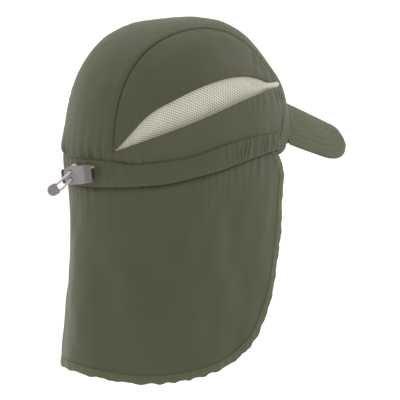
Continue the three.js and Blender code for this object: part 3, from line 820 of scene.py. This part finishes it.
# Rounds the two edges that cross a block's end, on the side of sign, or all four
def roundEnd(piece, sign, beyond, width, segments, allFour=False):
    pick(piece, "EDGE", lambda a, b: min(sign * a.x, sign * b.x) > beyond and (allFour or abs(a.y - b.y) > 1))
    bevelPicked(width, segments)


def softenEdges(piece, width, segments):
    soften = piece.modifiers.new("soften", "BEVEL")
    soften.width = width
    soften.segments = segments
    soften.limit_method = "ANGLE"
    soften.angle_limit = math.radians(35)
    soften.harden_normals = False
    applyAll(piece)


def cutAway(piece, tool, way="DIFFERENCE"):
    cut = piece.modifiers.new("cut", "BOOLEAN")
    cut.operation = way
    cut.object = tool
    cut.solver = "EXACT"
    applyAll(piece)
    bpy.data.objects.remove(tool)


def addBlock(low, high):
    unselect()
    bpy.ops.mesh.primitive_cube_add(size=1)
    block = bpy.context.object
    editAll()
    bpy.ops.transform.resize(value=tuple(h - l for l, h in zip(low, high)))
    bpy.ops.transform.translate(value=tuple((h + l) / 2 for l, h in zip(low, high)))
    bpy.ops.object.mode_set(mode="OBJECT")
    return block


def settle(piece, place):
    piece.data.transform(Matrix.Scale(mm, 4) @ place)
    piece.data.update()


# Cord lock: a flat body with two cord holes, and the plunger in its pocket
lock = {
    "low": (-12, -4.5, -7.7),
    "high": (12, 4.5, 7.7),
    "corner": 6.6,
    "endRound": 1.5,
    "faceRound": 1.6,
    "hole": 1.85,
    "holes": (3.1, -3.1),
    "holeAt": 3.4,
    "pocket": ((-5, -2.95, -6.2), (13, 2.95, 6.2)),
    "stem": ((-2.7, -2.65, -5.9), (15.3, 2.65, 5.9)),
    "window": ((2.1, -9, -4.4), (6.7, 9, 4.4)),
    "button": ((14.3, -3.7, -6.2), (16.7, 3.7, 6.2)),
    "buttonTaper": 0.65,
}


def makeLock():
    body = addBlock(lock["low"], lock["high"])
    roundEnd(body, 1, 11, lock["corner"], 10)
    roundEnd(body, -1, 11, lock["endRound"], 4)
    roundEnd(body, -1, 11.9, lock["faceRound"], 5, True)
    cutAway(body, addBlock(*lock["pocket"]))
    for high in lock["holes"]:
        unselect()
        bpy.ops.mesh.primitive_cylinder_add(
            vertices=28, radius=lock["hole"], depth=20, location=(lock["holeAt"], 0, high),
            rotation=(math.radians(90), 0, 0))
        cutAway(body, bpy.context.object)
    softenEdges(body, 0.45, 3)
    settle(body, lockFrame)
    smooth(body, 35)
    finish(body, "cordLock", lockPlastic, "lock_plastic", "cord_lock_body")

    plunger = addBlock(*lock["button"])
    pick(plunger, "FACE", lambda middle, normal: normal.x > 0.9)
    bpy.ops.transform.resize(value=(1, 1, lock["buttonTaper"]))
    bpy.ops.object.mode_set(mode="OBJECT")
    roundEnd(plunger, 1, 16.6, 1.4, 5, True)
    cutAway(plunger, addBlock(*lock["stem"]), "UNION")
    cutAway(plunger, addBlock(*lock["window"]))
    softenEdges(plunger, 0.4, 3)
    settle(plunger, lockFrame)
    smooth(plunger, 35)
    finish(plunger, "cordLockPlunger", plungerPlastic, "plunger_plastic", "cord_lock_plunger", "plunger")


endPiece = makeCordEnd()
makeCord("drawcordRight", "right", "drawcord_right")
makeCord("drawcordLeft", "left", "drawcord_left")
makeLock()
print("cords, cord end and cord lock made")

# Crown panels: the centre panel, and on each side the panel over the vent, the mesh and the panel below it
panels = {
    "wall": 1.0,
    "seamDip": 1.35,      # how far the cloth rolls in at a seam
    "seamRoll": 1.0,
    "lap": 7.0,           # topstitch beside the seam, on the centre panel
    "lapRise": 0.4,
    "pucker": 0.3,
    "fold": 1.4,
    "overPeak": 4.6,      # the crown's cloth rolls out over both ends of the peak
    "cornerDrop": 7,      # and its front corners reach down to the casing
    "meshRoll": 3.6,      # the mesh gathers into a roll at the vent's front end
    "meshPuff": 9,
    "drawIn": 1.2,        # the soft cloth lies a little inside its cut shape over the top
    "bunch": 1.2,         # upright folds over the casing at the back
    "bulge": 2.2,         # and how far the cloth stands out over them
    "peakWall": 3,
    "peakCrest": 60.5,
    "peakPitch": 0.465,
    "peakStart": 105,
    "peakDrop": 41.5,
    "peakHalf": 59.2,
    "peakReach": 50.6,
    "rootHalf": 53,
    "meshUnder": 1.5,
    "meshWall": 0.7,
    "proud": 5.5,
}


def peakHeight(x, y):
    crest = panels["peakCrest"] + panels["peakPitch"] * (y + panels["peakStart"])
    return crest - panels["peakDrop"] * (x / panels["peakHalf"]) ** 2


def peakRoot(x):
    height = casingHeight
    point = None
    for _ in range(30):
        y = -crown["halfLength"] * math.sqrt(max(narrowing(height) ** 2 - (x / crown["halfWidth"]) ** 2, 0))
        point = Vector((x, y, height))
        seen = toCap(point)
        height += 0.8 * (peakHeight(seen.x, seen.y) - seen.z)
    return point


def peakRootAcross(share):
    root = peakRoot(share * seamHalf)
    for _ in range(8):
        angle = math.pi - math.atan2(root.z, -root.y)
        root = peakRoot(share * seamHalf * centreHalf(angle / math.pi))
    return root


# The cloth over the drawn-in back of the casing: it stands out, with upright folds that fade upwards
def bunched(p):
    turn = turnOf(p)
    over = p.z - casingEdge(turn, casingUpper)
    near = 1 - ease(abs(turn), 38, 52)
    run = turn * 1.55 + 3 * noise.noise(Vector((turn / 16, 2.2, p.z / 50)))
    ridge = math.sin(run * 0.74) + 0.5 * math.sin(run * 1.31 + 1)
    folds = panels["bunch"] * ridge * math.exp(-max(over, 0) / 13) * ease(over, -1.5, 3)
    return near * (folds + panels["bulge"] * bump(over, 9, 11) * ease(over, -2, 4))


# How far the crown's cloth rolls out over each end of the peak
def rolledOut(toFront, u):
    return bump(toFront, 4, 5) * bump(abs(2 * u - 1), 0.64, 0.17)


def makeCentrePanel():
    ends = {}

    def endsAt(u):
        if u not in ends:
            across = 2 * u - 1
            rough = across * seamHalf
            backTurn = -math.degrees(math.asin(rough / crown["halfWidth"]))
            start = crownAt(backTurn, crownHem(backTurn))
            root = peakRootAcross(across)
            last = math.pi - math.atan2(root.z, -root.y)
            for _ in range(8):
                edge = crownOver(across * seamHalf * centreHalf(last / math.pi), last)
                edge = toCap(outFromCrown(edge, panels["overPeak"] * rolledOut(0, u)))
                last += (edge.z - peakHeight(edge.x, edge.y)) / 110
            last += panels["cornerDrop"] * ease(abs(across), 0.8, 0.95) / 95
            ends[u] = (math.atan2(start.z, start.y), last)
        return ends[u]

    def place(u, v):
        first, last = endsAt(u)
        angle = mix(first, last, v)
        half = seamHalf * centreHalf(angle / math.pi)
        p = crownOver((2 * u - 1) * half, angle)
        side = 1 if u > 0.5 else -1
        toSeam = half * (1 - abs(2 * u - 1))
        run = angle * 100
        wave = pucker(run, 8, 3 + side)
        dip = panels["seamDip"] * (1 - 0.6 * ease(-p.y, 50, 80))
        rise = -dip * (1 - ease(toSeam, 0, panels["seamRoll"]))
        lapEnd = ease(toSeam, panels["lap"] - 0.6, panels["lap"] + 0.9)
        rise += panels["lapRise"] * (ease(toSeam, 0.8, 2.4) - lapEnd)
        rise -= 0.25 * bump(toSeam, panels["lap"], 0.8)
        rise += panels["pucker"] * wave * bump(toSeam, 3.5, 4.5)
        rise += panels["fold"] * 0.9 * slack(p, 4.0) * ease(toSeam, 2, 18)
        rise -= panels["drawIn"] * ease(p.z, 25, 80)
        if p.y > 0:
            rise += bunched(p)
        toFront = (last - angle) * 95
        rise += panels["overPeak"] * rolledOut(toFront, u)
        rise += 0.8 * pucker(70 * u, 6, 41) * bump(toFront, 4, 6) * ease(toSeam, 1, 8)
        return toCap(outFromCrown(p, rise))

    panel = layPanel(closeEnds(48), evenShares(190), place, panels["wall"])
    finish(panel, "crownCentrePanel", crownCloth, "crown_cloth", "crown_centre_panel")
    rows = []
    for side in (0, 1):
        shares = []
        for v in evenShares(300)[1:-1]:
            half = seamHalf * centreHalf(mix(*endsAt(side), v) / math.pi)
            step = panels["lap"] / (2 * half)
            shares.append((abs(side - step), v))
        rows.append(rowOn(place, shares))
    return rows


def makeSidePanels(side, word):
    backAngle = seamAngle(ventHeight * ventUpper(0), True)
    frontAngle = seamAngle(ventHeight * ventUpper(1), False)

    def upperPlace(u, v):
        lower = ventPoint(side, mix(0.0005, 0.9995, u), ventUpper)
        upper = seamAt(side, mix(backAngle, frontAngle, u))
        p = ontoCrown(lower.lerp(upper, v))
        tall = (upper - lower).length
        toVent = v * tall
        toSeam = (1 - v) * tall
        run = 190 * u
        rise = -panels["seamDip"] * (1 - ease(toSeam, 0, panels["seamRoll"]))
        rise += panels["pucker"] * 1.5 * pucker(run, 11, 9 + side) * bump(toSeam, 5, 7) * ease(toSeam, 0.5, 3)
        rise += 0.3 * (1 - ease(toVent, 5, 6.5)) - 0.5 * (1 - ease(toVent, 0, 1.1))
        rise += 0.25 * pucker(run, 9, 21) * bump(toVent, 5, 4)
        rise += panels["fold"] * slack(p, 11.0 + side) * ease(toSeam, 1, 16) * ease(toVent, 2, 16)
        gathers = 0.9 * pucker(run, 7, 45 + side) * bump(u, 0.93, 0.09)
        rise += gathers * ease(toSeam, 1, 5) * ease(toVent, 1, 6)
        rise -= panels["drawIn"] * ease(p.z, 25, 80)
        rise += bunched(p)
        return toCap(outFromCrown(p, rise))

    upper = layPanel(closeEnds(110, 0.5), closeEnds(44), upperPlace, panels["wall"])
    finish(upper, "upperSidePanel" + word.title(), crownCloth, "crown_cloth", "upper_side_panel_" + word)

    lowFront = seamTurn(crownHem(ventFront), False)

    def meshPlace(u, v):
        along = mix(0.004, 0.996, u)
        turn = mix(ventBack, lowFront, along)
        lower = crownAt(-side * turn, crownHem(turn) + 0.3)
        upper = ventPoint(side, along, ventUpper)
        upper.z += 5
        p = ontoCrown(lower.lerp(upper, v))
        rise = -panels["meshUnder"] - 0.2
        gape = ventHeight * (ventUpper(along) - ventLower(along))
        over = p.z - ventHeight * ventLower(along)
        up = min(max(over / max(gape, 1), 0), 1)
        full = ease(gape, 4, 22) * math.sin(math.pi * up)
        rise -= panels["drawIn"] * ease(p.z, 25, 80)
        rise += 0.7 * full * noise.noise(Vector((u * 9, v * 3, side))) + bunched(p)
        rise -= 2.4 * full * bump(along, 0.83 + 0.12 * (0.5 - up), 0.035)
        rise += panels["meshRoll"] * bump(over, 2.6, 2.6) * ease(along, 0.8, 0.93)
        if side > 0:
            rise += panels["meshPuff"] * bump(along, 0.11, 0.08) * math.sin(math.pi * up) ** 0.6
        return toCap(outFromCrown(p, rise))

    mesh = layPanel(evenShares(90), evenShares(36), meshPlace, panels["meshWall"])
    finish(mesh, "ventMesh" + word.title(), ventMesh, "vent_mesh", "vent_mesh_" + word)

    backTurn = seamTurn(crownHem(ventBack), True)
    frontTurn = seamTurn(crownHem(ventFront), False)
    sideEdges = {}

    # how far an edge, a straight line between its ends, has to move to lie on the seam
    def toSeamLine(v, atBack):
        if (v, atBack) not in sideEdges:
            turn = backTurn if atBack else frontTurn
            high = ventPoint(side, 0.0015 if atBack else 0.9985, ventLower)
            end = ontoCrown(crownAt(-side * turn, crownHem(turn)).lerp(high, v))
            sideEdges[v, atBack] = seamAt(side, seamAngle(end.z, atBack)) - end
        return sideEdges[v, atBack]

    def lowerPlace(u, v):
        turn = mix(backTurn, frontTurn, u)
        lower = crownAt(-side * turn, crownHem(turn))
        upper = ventPoint(side, mix(0.0015, 0.9985, u), ventLower)
        p = ontoCrown(lower.lerp(upper, v))
        atFront = toSeamLine(v, False) * ease(u, 0.8, 1)
        p = ontoCrown(p + atFront + toSeamLine(v, True) * (1 - ease(u, 0, 0.08)))
        covered = casingEdge(turn, casingUpper) - crownHem(turn)
        tall = ventHeight * ventLower(u) - crownHem(turn)
        free = max(0, (v * tall - covered) / (tall - covered))
        lengthwise = ease(math.sin(math.pi * u), 0, 0.75)
        ripple = 0.24 * math.sin(40 * u) * max(0, u - 0.55)
        rise = panels["proud"] * lengthwise * (1 + ripple) * free ** 1.3
        toEdge = (1 - v) * tall
        over = v * tall - covered
        toEnd = min(u, 1 - u) * 165
        dip = panels["seamDip"] * (1 - 0.6 * ease(u, 0.8, 1))
        rise -= dip * (1 - ease(toEnd, 0, panels["seamRoll"])) * (1 - free ** 3 * 0.5)
        rise += 0.15 * (1 - ease(toEdge, 5.5, 7)) - 0.5 * (1 - ease(toEdge, 0, 0.9))
        rise -= 0.1 * bump(toEdge, 6.2, 0.7)
        rise += 0.22 * pucker(165 * u, 8, 31) * bump(toEdge, 5, 3.5)
        rise += 0.8 * pucker(165 * u + 0.3 * over, 7.5, 17) * ease(u, 0.62, 0.86) * bump(toEdge, 7, 7)
        rise += 0.4 * pucker(165 * u, 6.5, 13) * bump(over, 1.5, 5) * ease(u, 0.5, 0.7)
        rise += panels["fold"] * slack(p, 15.0 + side) * ease(toEdge, 2, 12) * ease(over, 0, 12)
        rise += bunched(p)
        return toCap(outFromCrown(p, rise))

    lower = layPanel(closeEnds(130, 0.5), closeEnds(30, 0.6), lowerPlace, panels["wall"])
    finish(lower, "lowerSidePanel" + word.title(), crownCloth, "crown_cloth", "lower_side_panel_" + word)

    edge = []
    for u in evenShares(200)[2:-2]:
        low = ventPoint(side, u, ventUpper)
        tall = (seamAt(side, mix(backAngle, frontAngle, u)) - low).length
        if tall > 12:
            edge.append((u, 5.8 / tall))
    return rowOn(upperPlace, edge)


crownRows = makeCentrePanel()
for side, word in ((1, "left"), (-1, "right")):
    crownRows.append(makeSidePanels(side, word))
sew("crownStitches", crownRows)
print("crown panels and vents made")

# Casing of the drawcord, gathered towards its front ends
casing = {
    "wall": 1.2,
    "proud": 1.9,
    "gather": 1.2,
    "gatherCount": 36,
    "gatherFrom": (0.55, 0.68),
    "gatherTo": (0.95, 1.0),
    "bunch": 0.6,
    "bulge": 1.4,
    "topStitch": 2.0,
    "lowStitch": 1.7,
    "holeSize": (4.4, 8, 2.6),
}
perDegree = math.pi * (crown["halfWidth"] + crown["halfLength"]) / 360
casingSeam = seamTurn(casingHeight * 0.1, True)


def casingPlace(u, v):
    turn = mix(-casingEnd, casingEnd, u)
    low = casingEdge(turn, casingLower)
    tall = casingEdge(turn, casingUpper) - low
    p = crownAt(turn, low + v * tall)
    along = abs(turn) / casingEnd
    run = turn * perDegree
    toTop = (1 - v) * tall
    toLow = v * tall
    toEnd = (casingEnd - abs(turn)) * perDegree
    full = math.sin(math.pi * v)
    rise = casing["proud"]
    rise -= 1.25 * (1 - ease(toTop, 0, 1.7))
    rise -= 0.35 * (1 - ease(toLow, 0, 0.8))
    rise -= 0.3 * bump(toTop, casing["topStitch"], 0.7) + 0.3 * bump(toLow, casing["lowStitch"], 0.7)
    rise -= 0.8 * (1 - ease(toEnd, 0, 1.6))
    strength = ease(along, *casing["gatherFrom"]) * (1 - ease(along, *casing["gatherTo"]))
    drift = noise.noise(Vector((along * 14, 0.4, v * 0.9)))
    ridge = abs(math.sin(math.pi * (casing["gatherCount"] * along + 1.3 * drift) + 0.6 * (v - 0.5)))
    deep = 0.75 + 0.8 * noise.noise(Vector((along * 30, 1.7, v * 1.2)))
    rise += casing["gather"] * strength * (ridge * deep - 0.25) * full ** 0.4
    back = 1 - ease(abs(turn), 30, 46)
    rise += casing["bulge"] * back * bump(abs(turn), 34, 14) * full ** 0.5
    rise += casing["bunch"] * back * pucker(run, 8.5, 52 + v * 0.4) * full ** 0.4
    rise += 0.22 * pucker(run, 5.5, 61) * bump(toTop, 2.6, 2.4)
    rise += 0.2 * pucker(run, 6.5, 67) * bump(toLow, 2.4, 2.2)
    rise += 0.35 * noise.noise(Vector((run / 17, v * 1.6, 3.3))) * full
    rise -= 0.75 * bump((abs(turn) - casingSeam) * perDegree, 0, 0.75)
    return toCap(outFromCrown(p, rise))


def makeCasing():
    band = layPanel(closeEnds(520, 0.3), closeEnds(20, 0.6), casingPlace, casing["wall"])
    half = Vector(casing["holeSize"]) / 2
    for key in ("right", "left"):
        tool = addBlock(-half, half)
        tool.data.transform(Matrix.Scale(mm, 4) @ lockFrame @ Matrix.Translation(Vector(cords[key][1])))
        cutAway(band, tool)
    smooth(band)
    finish(band, "casing", flapCloth, "flap_cloth", "casing")
    rows = []
    for part in ("topStitch", "lowStitch"):
        shares = []
        for u in evenShares(500)[2:-2]:
            turn = mix(-casingEnd, casingEnd, u)
            step = casing[part] / (casingEdge(turn, casingUpper) - casingEdge(turn, casingLower))
            shares.append((u, 1 - step if part == "topStitch" else step))
        rows.append(rowOn(casingPlace, shares))
    for sign in (-1, 1):
        for turn, beside, low in ((casingSeam, -2.4, 0.1), (casingSeam, 2.2, 0.1), (casingEnd, -2.6, 0.06)):
            u = 0.5 + sign * (turn + beside / perDegree) / (2 * casingEnd)
            rows.append(rowOn(casingPlace, [(u, mix(low, 1 - low, v)) for v in evenShares(20)]))
    sew("casingStitches", rows, "flap_cloth")
    return band


# Buttonhole: a worked rim of thread round each place where the cord leaves the casing
buttonhole = {
    "stretch": (2.8, 1.8, 1.125),   # of a ring of radius 1, into a flat oval
}


def makeButtonholes():
    for key in ("right", "left"):
        unselect()
        bpy.ops.mesh.primitive_torus_add(
            major_radius=1, minor_radius=0.2, major_segments=40, minor_segments=8)
        rim = bpy.context.object
        editAll()
        bpy.ops.transform.resize(value=buttonhole["stretch"])
        bpy.ops.object.mode_set(mode="OBJECT")
        for vertex in rim.data.vertices:
            vertex.co.z += 0.1 * math.cos(22 * math.atan2(vertex.co.y, vertex.co.x))
        hole = lockFrame @ Vector(cords[key][1])
        u = 0.5 + turnOf(hole) / (2 * casingEnd)
        v = min(range(1, 100), key=lambda k: abs(casingPlace(u, k / 100).z - hole.z)) / 100
        (middle, up), = rowOn(casingPlace, [(u, v)])
        side = Vector((0, 0, 1)).cross(up).normalized()
        middle = hole + up * (middle - hole).dot(up)
        place = Matrix((side, up.cross(side), up)).transposed().to_4x4()
        place.translation = middle + up * 0.1
        settle(rim, place)
        for face in rim.data.polygons:
            face.use_smooth = True
        finish(rim, "buttonhole" + key.title(), sewingThread, "flap_cloth")


band = makeCasing()
makeButtonholes()
print("casing and buttonholes made")

# Neck flap and its turned hem
flap = {
    "drop": 165,
    "end": 143,
    "flare": 5,
    "fold": 1.5,
    "foldFade": (0.06, 0.5),
    "hem": 7.0,
    "hemProud": 0.8,
    "hemThick": 1.9,
    "tuck": 3.0,
    "wall": 1.0,
    "hang": 2.0,
    "pleat": 0.7,
}
flapEdgeRows = [
    (0.735, -0.235), (0.741, -0.18), (0.766, -0.12), (0.784, -0.065), (0.787, -0.01), (0.777, 0.08),
    (0.761, 0.215), (0.74, 0.372), (0.703, 0.54), (0.652, 0.712), (0.596, 0.83), (0.511, 0.918),
    (0.367, 0.976), (0.222, 0.997), (0.083, 0.976), (0, 0.964),
]
flapFlareRows = [(0, 0), (0.15, -0.3), (0.35, -0.25), (0.6, 0.2), (0.8, 0.7), (1, 1.05), (1.2, 1.3)]
flapFolds = [
    (-0.72, 0.05, 0.6, -0.04), (-0.5, 0.07, -0.7, 0.03), (-0.28, 0.06, 0.8, 0.05), (-0.1, 0.05, -0.7, 0.04),
    (0.06, 0.05, 0.9, -0.05), (0.2, 0.06, -0.8, -0.06), (0.36, 0.07, 0.6, 0.02), (0.56, 0.045, -1, -0.02),
    (0.68, 0.05, 0.7, -0.02),
]
flapFlare = readRows(flapFlareRows)


# Even steps by length along a smooth curve through flat points
def evenCurve(points, count):
    fine = []
    for k in range(len(points) - 1):
        a = points[max(k - 1, 0)]
        b = points[k]
        c = points[k + 1]
        d = points[min(k + 2, len(points) - 1)]
        go = (c - a) * 0.5
        come = (d - b) * 0.5
        fine.extend(onCurve(b, c, go, come, i / 40) for i in range(40))
    fine.append(points[-1].copy())
    length = runningLengths(fine)
    spots = []
    k = 0
    for i in range(count + 1):
        want = length[-1] * i / count
        while k < len(fine) - 2 and length[k + 1] < want:
            k += 1
        span = max(length[k + 1] - length[k], 1e-9)
        spots.append(fine[k].lerp(fine[k + 1], (want - length[k]) / span))
    return spots, length[-1]


halfOutline = [Vector((turn * 180 * perDegree, -down * flap["drop"])) for turn, down in flapEdgeRows]
outlinePoints = halfOutline + [Vector((-p.x, p.y)) for p in reversed(halfOutline[:-1])]
outlineSteps = 1600
outline, outlineLength = evenCurve(outlinePoints, outlineSteps)


def outlineAt(share, inset):
    at = min(max(share, 0), 1) * outlineSteps
    k = min(int(at), outlineSteps - 1)
    here = outline[k].lerp(outline[k + 1], at - k)
    ahead = (outline[min(k + 4, outlineSteps)] - outline[max(k - 3, 0)]).normalized()
    return here + Vector((ahead.y, -ahead.x)) * inset


# Where the flap's cloth hangs from, under the casing, at a turn
def flapTop(turn):
    edge = min(max(turn, -flap["end"]), flap["end"])
    return crownAt(edge, crownHem(edge) - 0.6)


def flapPoint(turn, z, offset):
    top = toCap(outFromCrown(flapTop(turn), -0.15))
    down = (top.z - z) / flap["drop"]
    away = crownAt(turn, 0)
    away.z = 0
    away.normalize()
    fold = 0
    for middle, width, depth, lean in flapFolds:
        fold += depth * bump(turn / 180, middle + lean * down, width)
    out = flap["flare"] * flapFlare(down) + flap["fold"] * fold * ease(down, *flap["foldFade"]) + offset
    run = turn * perDegree
    below = max(top.z - casingLap - z, 0)
    out += flap["pleat"] * pucker(run, 8.5, 71) * math.exp(-below / 15) * ease(below, 0, 5)
    out -= 2.3 * bump(top.z - casingLap - z, -1, 2.6)
    out += flap["hang"] * noise.noise(Vector((run / 30 + z / 160, z / 105, 8.8))) * ease(below, 3, 45)
    out += 0.8 * noise.noise(Vector((run / 14 - z / 45, z / 38, 4.1))) * ease(below, 2, 30)
    out += 0.9 * noise.noise(Vector(((run + 0.8 * z) / 26, (z - 0.5 * run) / 90, 6.4))) * ease(below, 2, 24)
    return Vector((top.x, top.y, z)) + away * out


def makeFlap():
    start = 180 * flapEdgeRows[0][0] - flap["tuck"] / perDegree

    def place(u, v):
        edge = outlineAt(u, flap["tuck"])
        turn = mix(edge.x / perDegree, mix(1, -1, u) * start, v)
        high = toCap(flapTop(turn)).z
        return flapPoint(turn, mix(min(edge.y, high - 2), high, v), 0)

    sheet = layPanel(evenShares(280), evenShares(76), place, flap["wall"])
    return finish(sheet, "neckFlap", flapCloth, "flap_cloth", "neck_flap")


def hemPoint(share, inset, offset):
    run = share * outlineLength
    wave = pucker(run, 17, 81) * 0.8 + pucker(run, 9, 87) * 0.35
    p = outlineAt(share, inset - wave * (1 - inset / flap["hem"]) + 0.15)
    turn = p.x / perDegree
    high = toCap(flapTop(turn)).z
    swell = 0.5 * pucker(run, 9, 91) * math.sin(math.pi * min(max(inset / flap["hem"], 0), 1))
    return flapPoint(turn, min(p.y, high), offset + swell)


def makeHem():
    wide = flap["hem"]
    half = flap["hemThick"] / 2
    middle = flap["hemProud"] - half
    section = []
    for k in range(9):
        a = math.pi * (k / 8 - 0.5)
        section.append((half - half * math.cos(a), middle - half * math.sin(a)))
    for k in range(1, 7):
        section.append((half + (wide - half) * k / 6.4, middle - half))
    section.append((wide, middle - half + 0.25))
    section.append((wide, middle + half - 0.35))
    for k in range(6, 0, -1):
        groove = 0.5 * bump(half + (wide - half) * k / 6.4, wide - 1.2, 0.7)
        section.append((half + (wide - half) * k / 6.4, middle + half - groove))
    rings = []
    count = 440
    for j in range(count + 1):
        share = 0.002 + 0.996 * j / count
        rings.append([hemPoint(share, inset, offset) for inset, offset in section])
    hem = finish(sweepBand(rings), "neckFlapHem", hemCloth, "flap_cloth", "neck_flap_hem")
    line = []
    for j in range(4, 797):
        share = j / 800
        here = hemPoint(share, wide - 1.2, flap["hemProud"] - 0.6)
        du = hemPoint(share + 0.001, wide - 1.2, 0) - hemPoint(share - 0.001, wide - 1.2, 0)
        dv = hemPoint(share, wide - 0.8, 0) - hemPoint(share, wide - 1.6, 0)
        line.append((here, faceOut(here, du.cross(dv).normalized())))
    return hem, sew("hemStitches", [line], "flap_cloth")


neckFlap = makeFlap()
hem, hemStitches = makeHem()
print("neck flap and hem made")

# Peak: a stiff board between two layers of cloth, with rows of stitches parallel to its edge
peak = {
    "middle": Vector((0, -95)),
    "rowFirst": 3.2,
    "rowStep": 4.6,
    "rowCount": 9,
    "groove": 0.09,
    "grooveWidth": 0.95,
}
peakEdgeRows = [
    (0, 1), (0.3, 0.982), (0.571, 0.921), (0.65, 0.87), (0.74, 0.787), (0.814, 0.688), (0.88, 0.553),
    (0.926, 0.403), (0.954, 0.247), (0.975, -0.018), (0.996, -0.348), (1.004, -0.53),
]


def makePeak():
    half = [Vector((a * panels["peakHalf"], -panels["peakStart"] - r * panels["peakReach"]))
            for a, r in peakEdgeRows]
    points = [Vector((-p.x, p.y)) for p in reversed(half[1:])] + half
    stations = 190
    edge, length = evenCurve(points, stations)
    fine, _ = evenCurve(points, 900)
    tree = kdtree.KDTree(len(fine))
    for k, p in enumerate(fine):
        tree.insert((p.x, p.y, 0), k)
    tree.balance()
    rowsAt = [peak["rowFirst"] + peak["rowStep"] * k for k in range(peak["rowCount"])]

    def inward(k, spots):
        ahead = (spots[min(k + 1, len(spots) - 1)] - spots[max(k - 1, 0)]).normalized()
        into = Vector((-ahead.y, ahead.x))
        return into if into.dot(peak["middle"] - spots[k]) >= 0 else -into

    def relief(x, y):
        away = tree.find((x, y, 0))[2]
        rise = 0.22 * (1 - ease(away, 2.2, 3.6))
        for at in rowsAt:
            if abs(away - at) < 2.5:
                rise -= peak["groove"] * bump(away, at, peak["grooveWidth"])
        return rise + 0.12 * noise.noise(Vector((x / 9, y / 9, 1.9)))

    halfWall = panels["peakWall"] / 2
    rings = []
    for k in range(stations + 1):
        root = toCap(outFromCrown(peakRoot(mix(-1, 1, k / stations) * panels["rootHalf"]), -2.2))
        into = inward(k, edge)
        tip = edge[k] + into * halfWall
        ring = []
        for i in range(66):
            x = mix(root.x, tip.x, i / 65)
            y = mix(root.y, tip.y, i / 65)
            ring.append(Vector((x, y, peakHeight(x, y) + halfWall + relief(x, y))))
        for i in range(1, 8):
            a = math.pi * (0.5 - i / 8)
            out = tip - into * halfWall * math.cos(a)
            lift = halfWall + 0.22 if a > 0 else halfWall
            ring.append(Vector((out.x, out.y, peakHeight(out.x, out.y) + lift * math.sin(a))))
        for i in range(44):
            x = mix(tip.x, root.x, i / 43)
            y = mix(tip.y, root.y, i / 43)
            ring.append(Vector((x, y, peakHeight(x, y) - halfWall - 0.7 * relief(x, y))))
        rings.append(ring)
    finish(sweepBand(rings), "peak", peakCloth, "peak_cloth", "peak")

    lines = []
    for at in rowsAt:
        for face in (1, -1):
            line = []
            for k in range(6, len(fine) - 6, 4):
                spot = fine[k] + inward(k, fine) * at
                if tree.find((spot.x, spot.y, 0))[2] < at - 0.4:
                    continue
                z = peakHeight(spot.x, spot.y)
                low = Vector((spot.x, spot.y, z - crown["level"]))
                if crownValue(tiltMatrix.transposed() @ low) < 1.04:
                    continue
                lean = 2 * panels["peakDrop"] * spot.x / panels["peakHalf"] ** 2
                up = Vector((lean, -panels["peakPitch"], 1)).normalized()
                surface = z + face * (halfWall - peak["groove"] * 0.8)
                line.append((Vector((spot.x, spot.y, surface)), up * face))
            cut = []
            for k, entry in enumerate(line):
                if cut and (entry[0] - cut[-1][0]).length > 6:
                    lines.append(cut)
                    cut = []
                cut.append(entry)
            lines.append(cut)
    sew("peakStitches", [line for line in lines if len(line) > 2], "peak_cloth")


makePeak()
print("peak made")

print("cap finished")
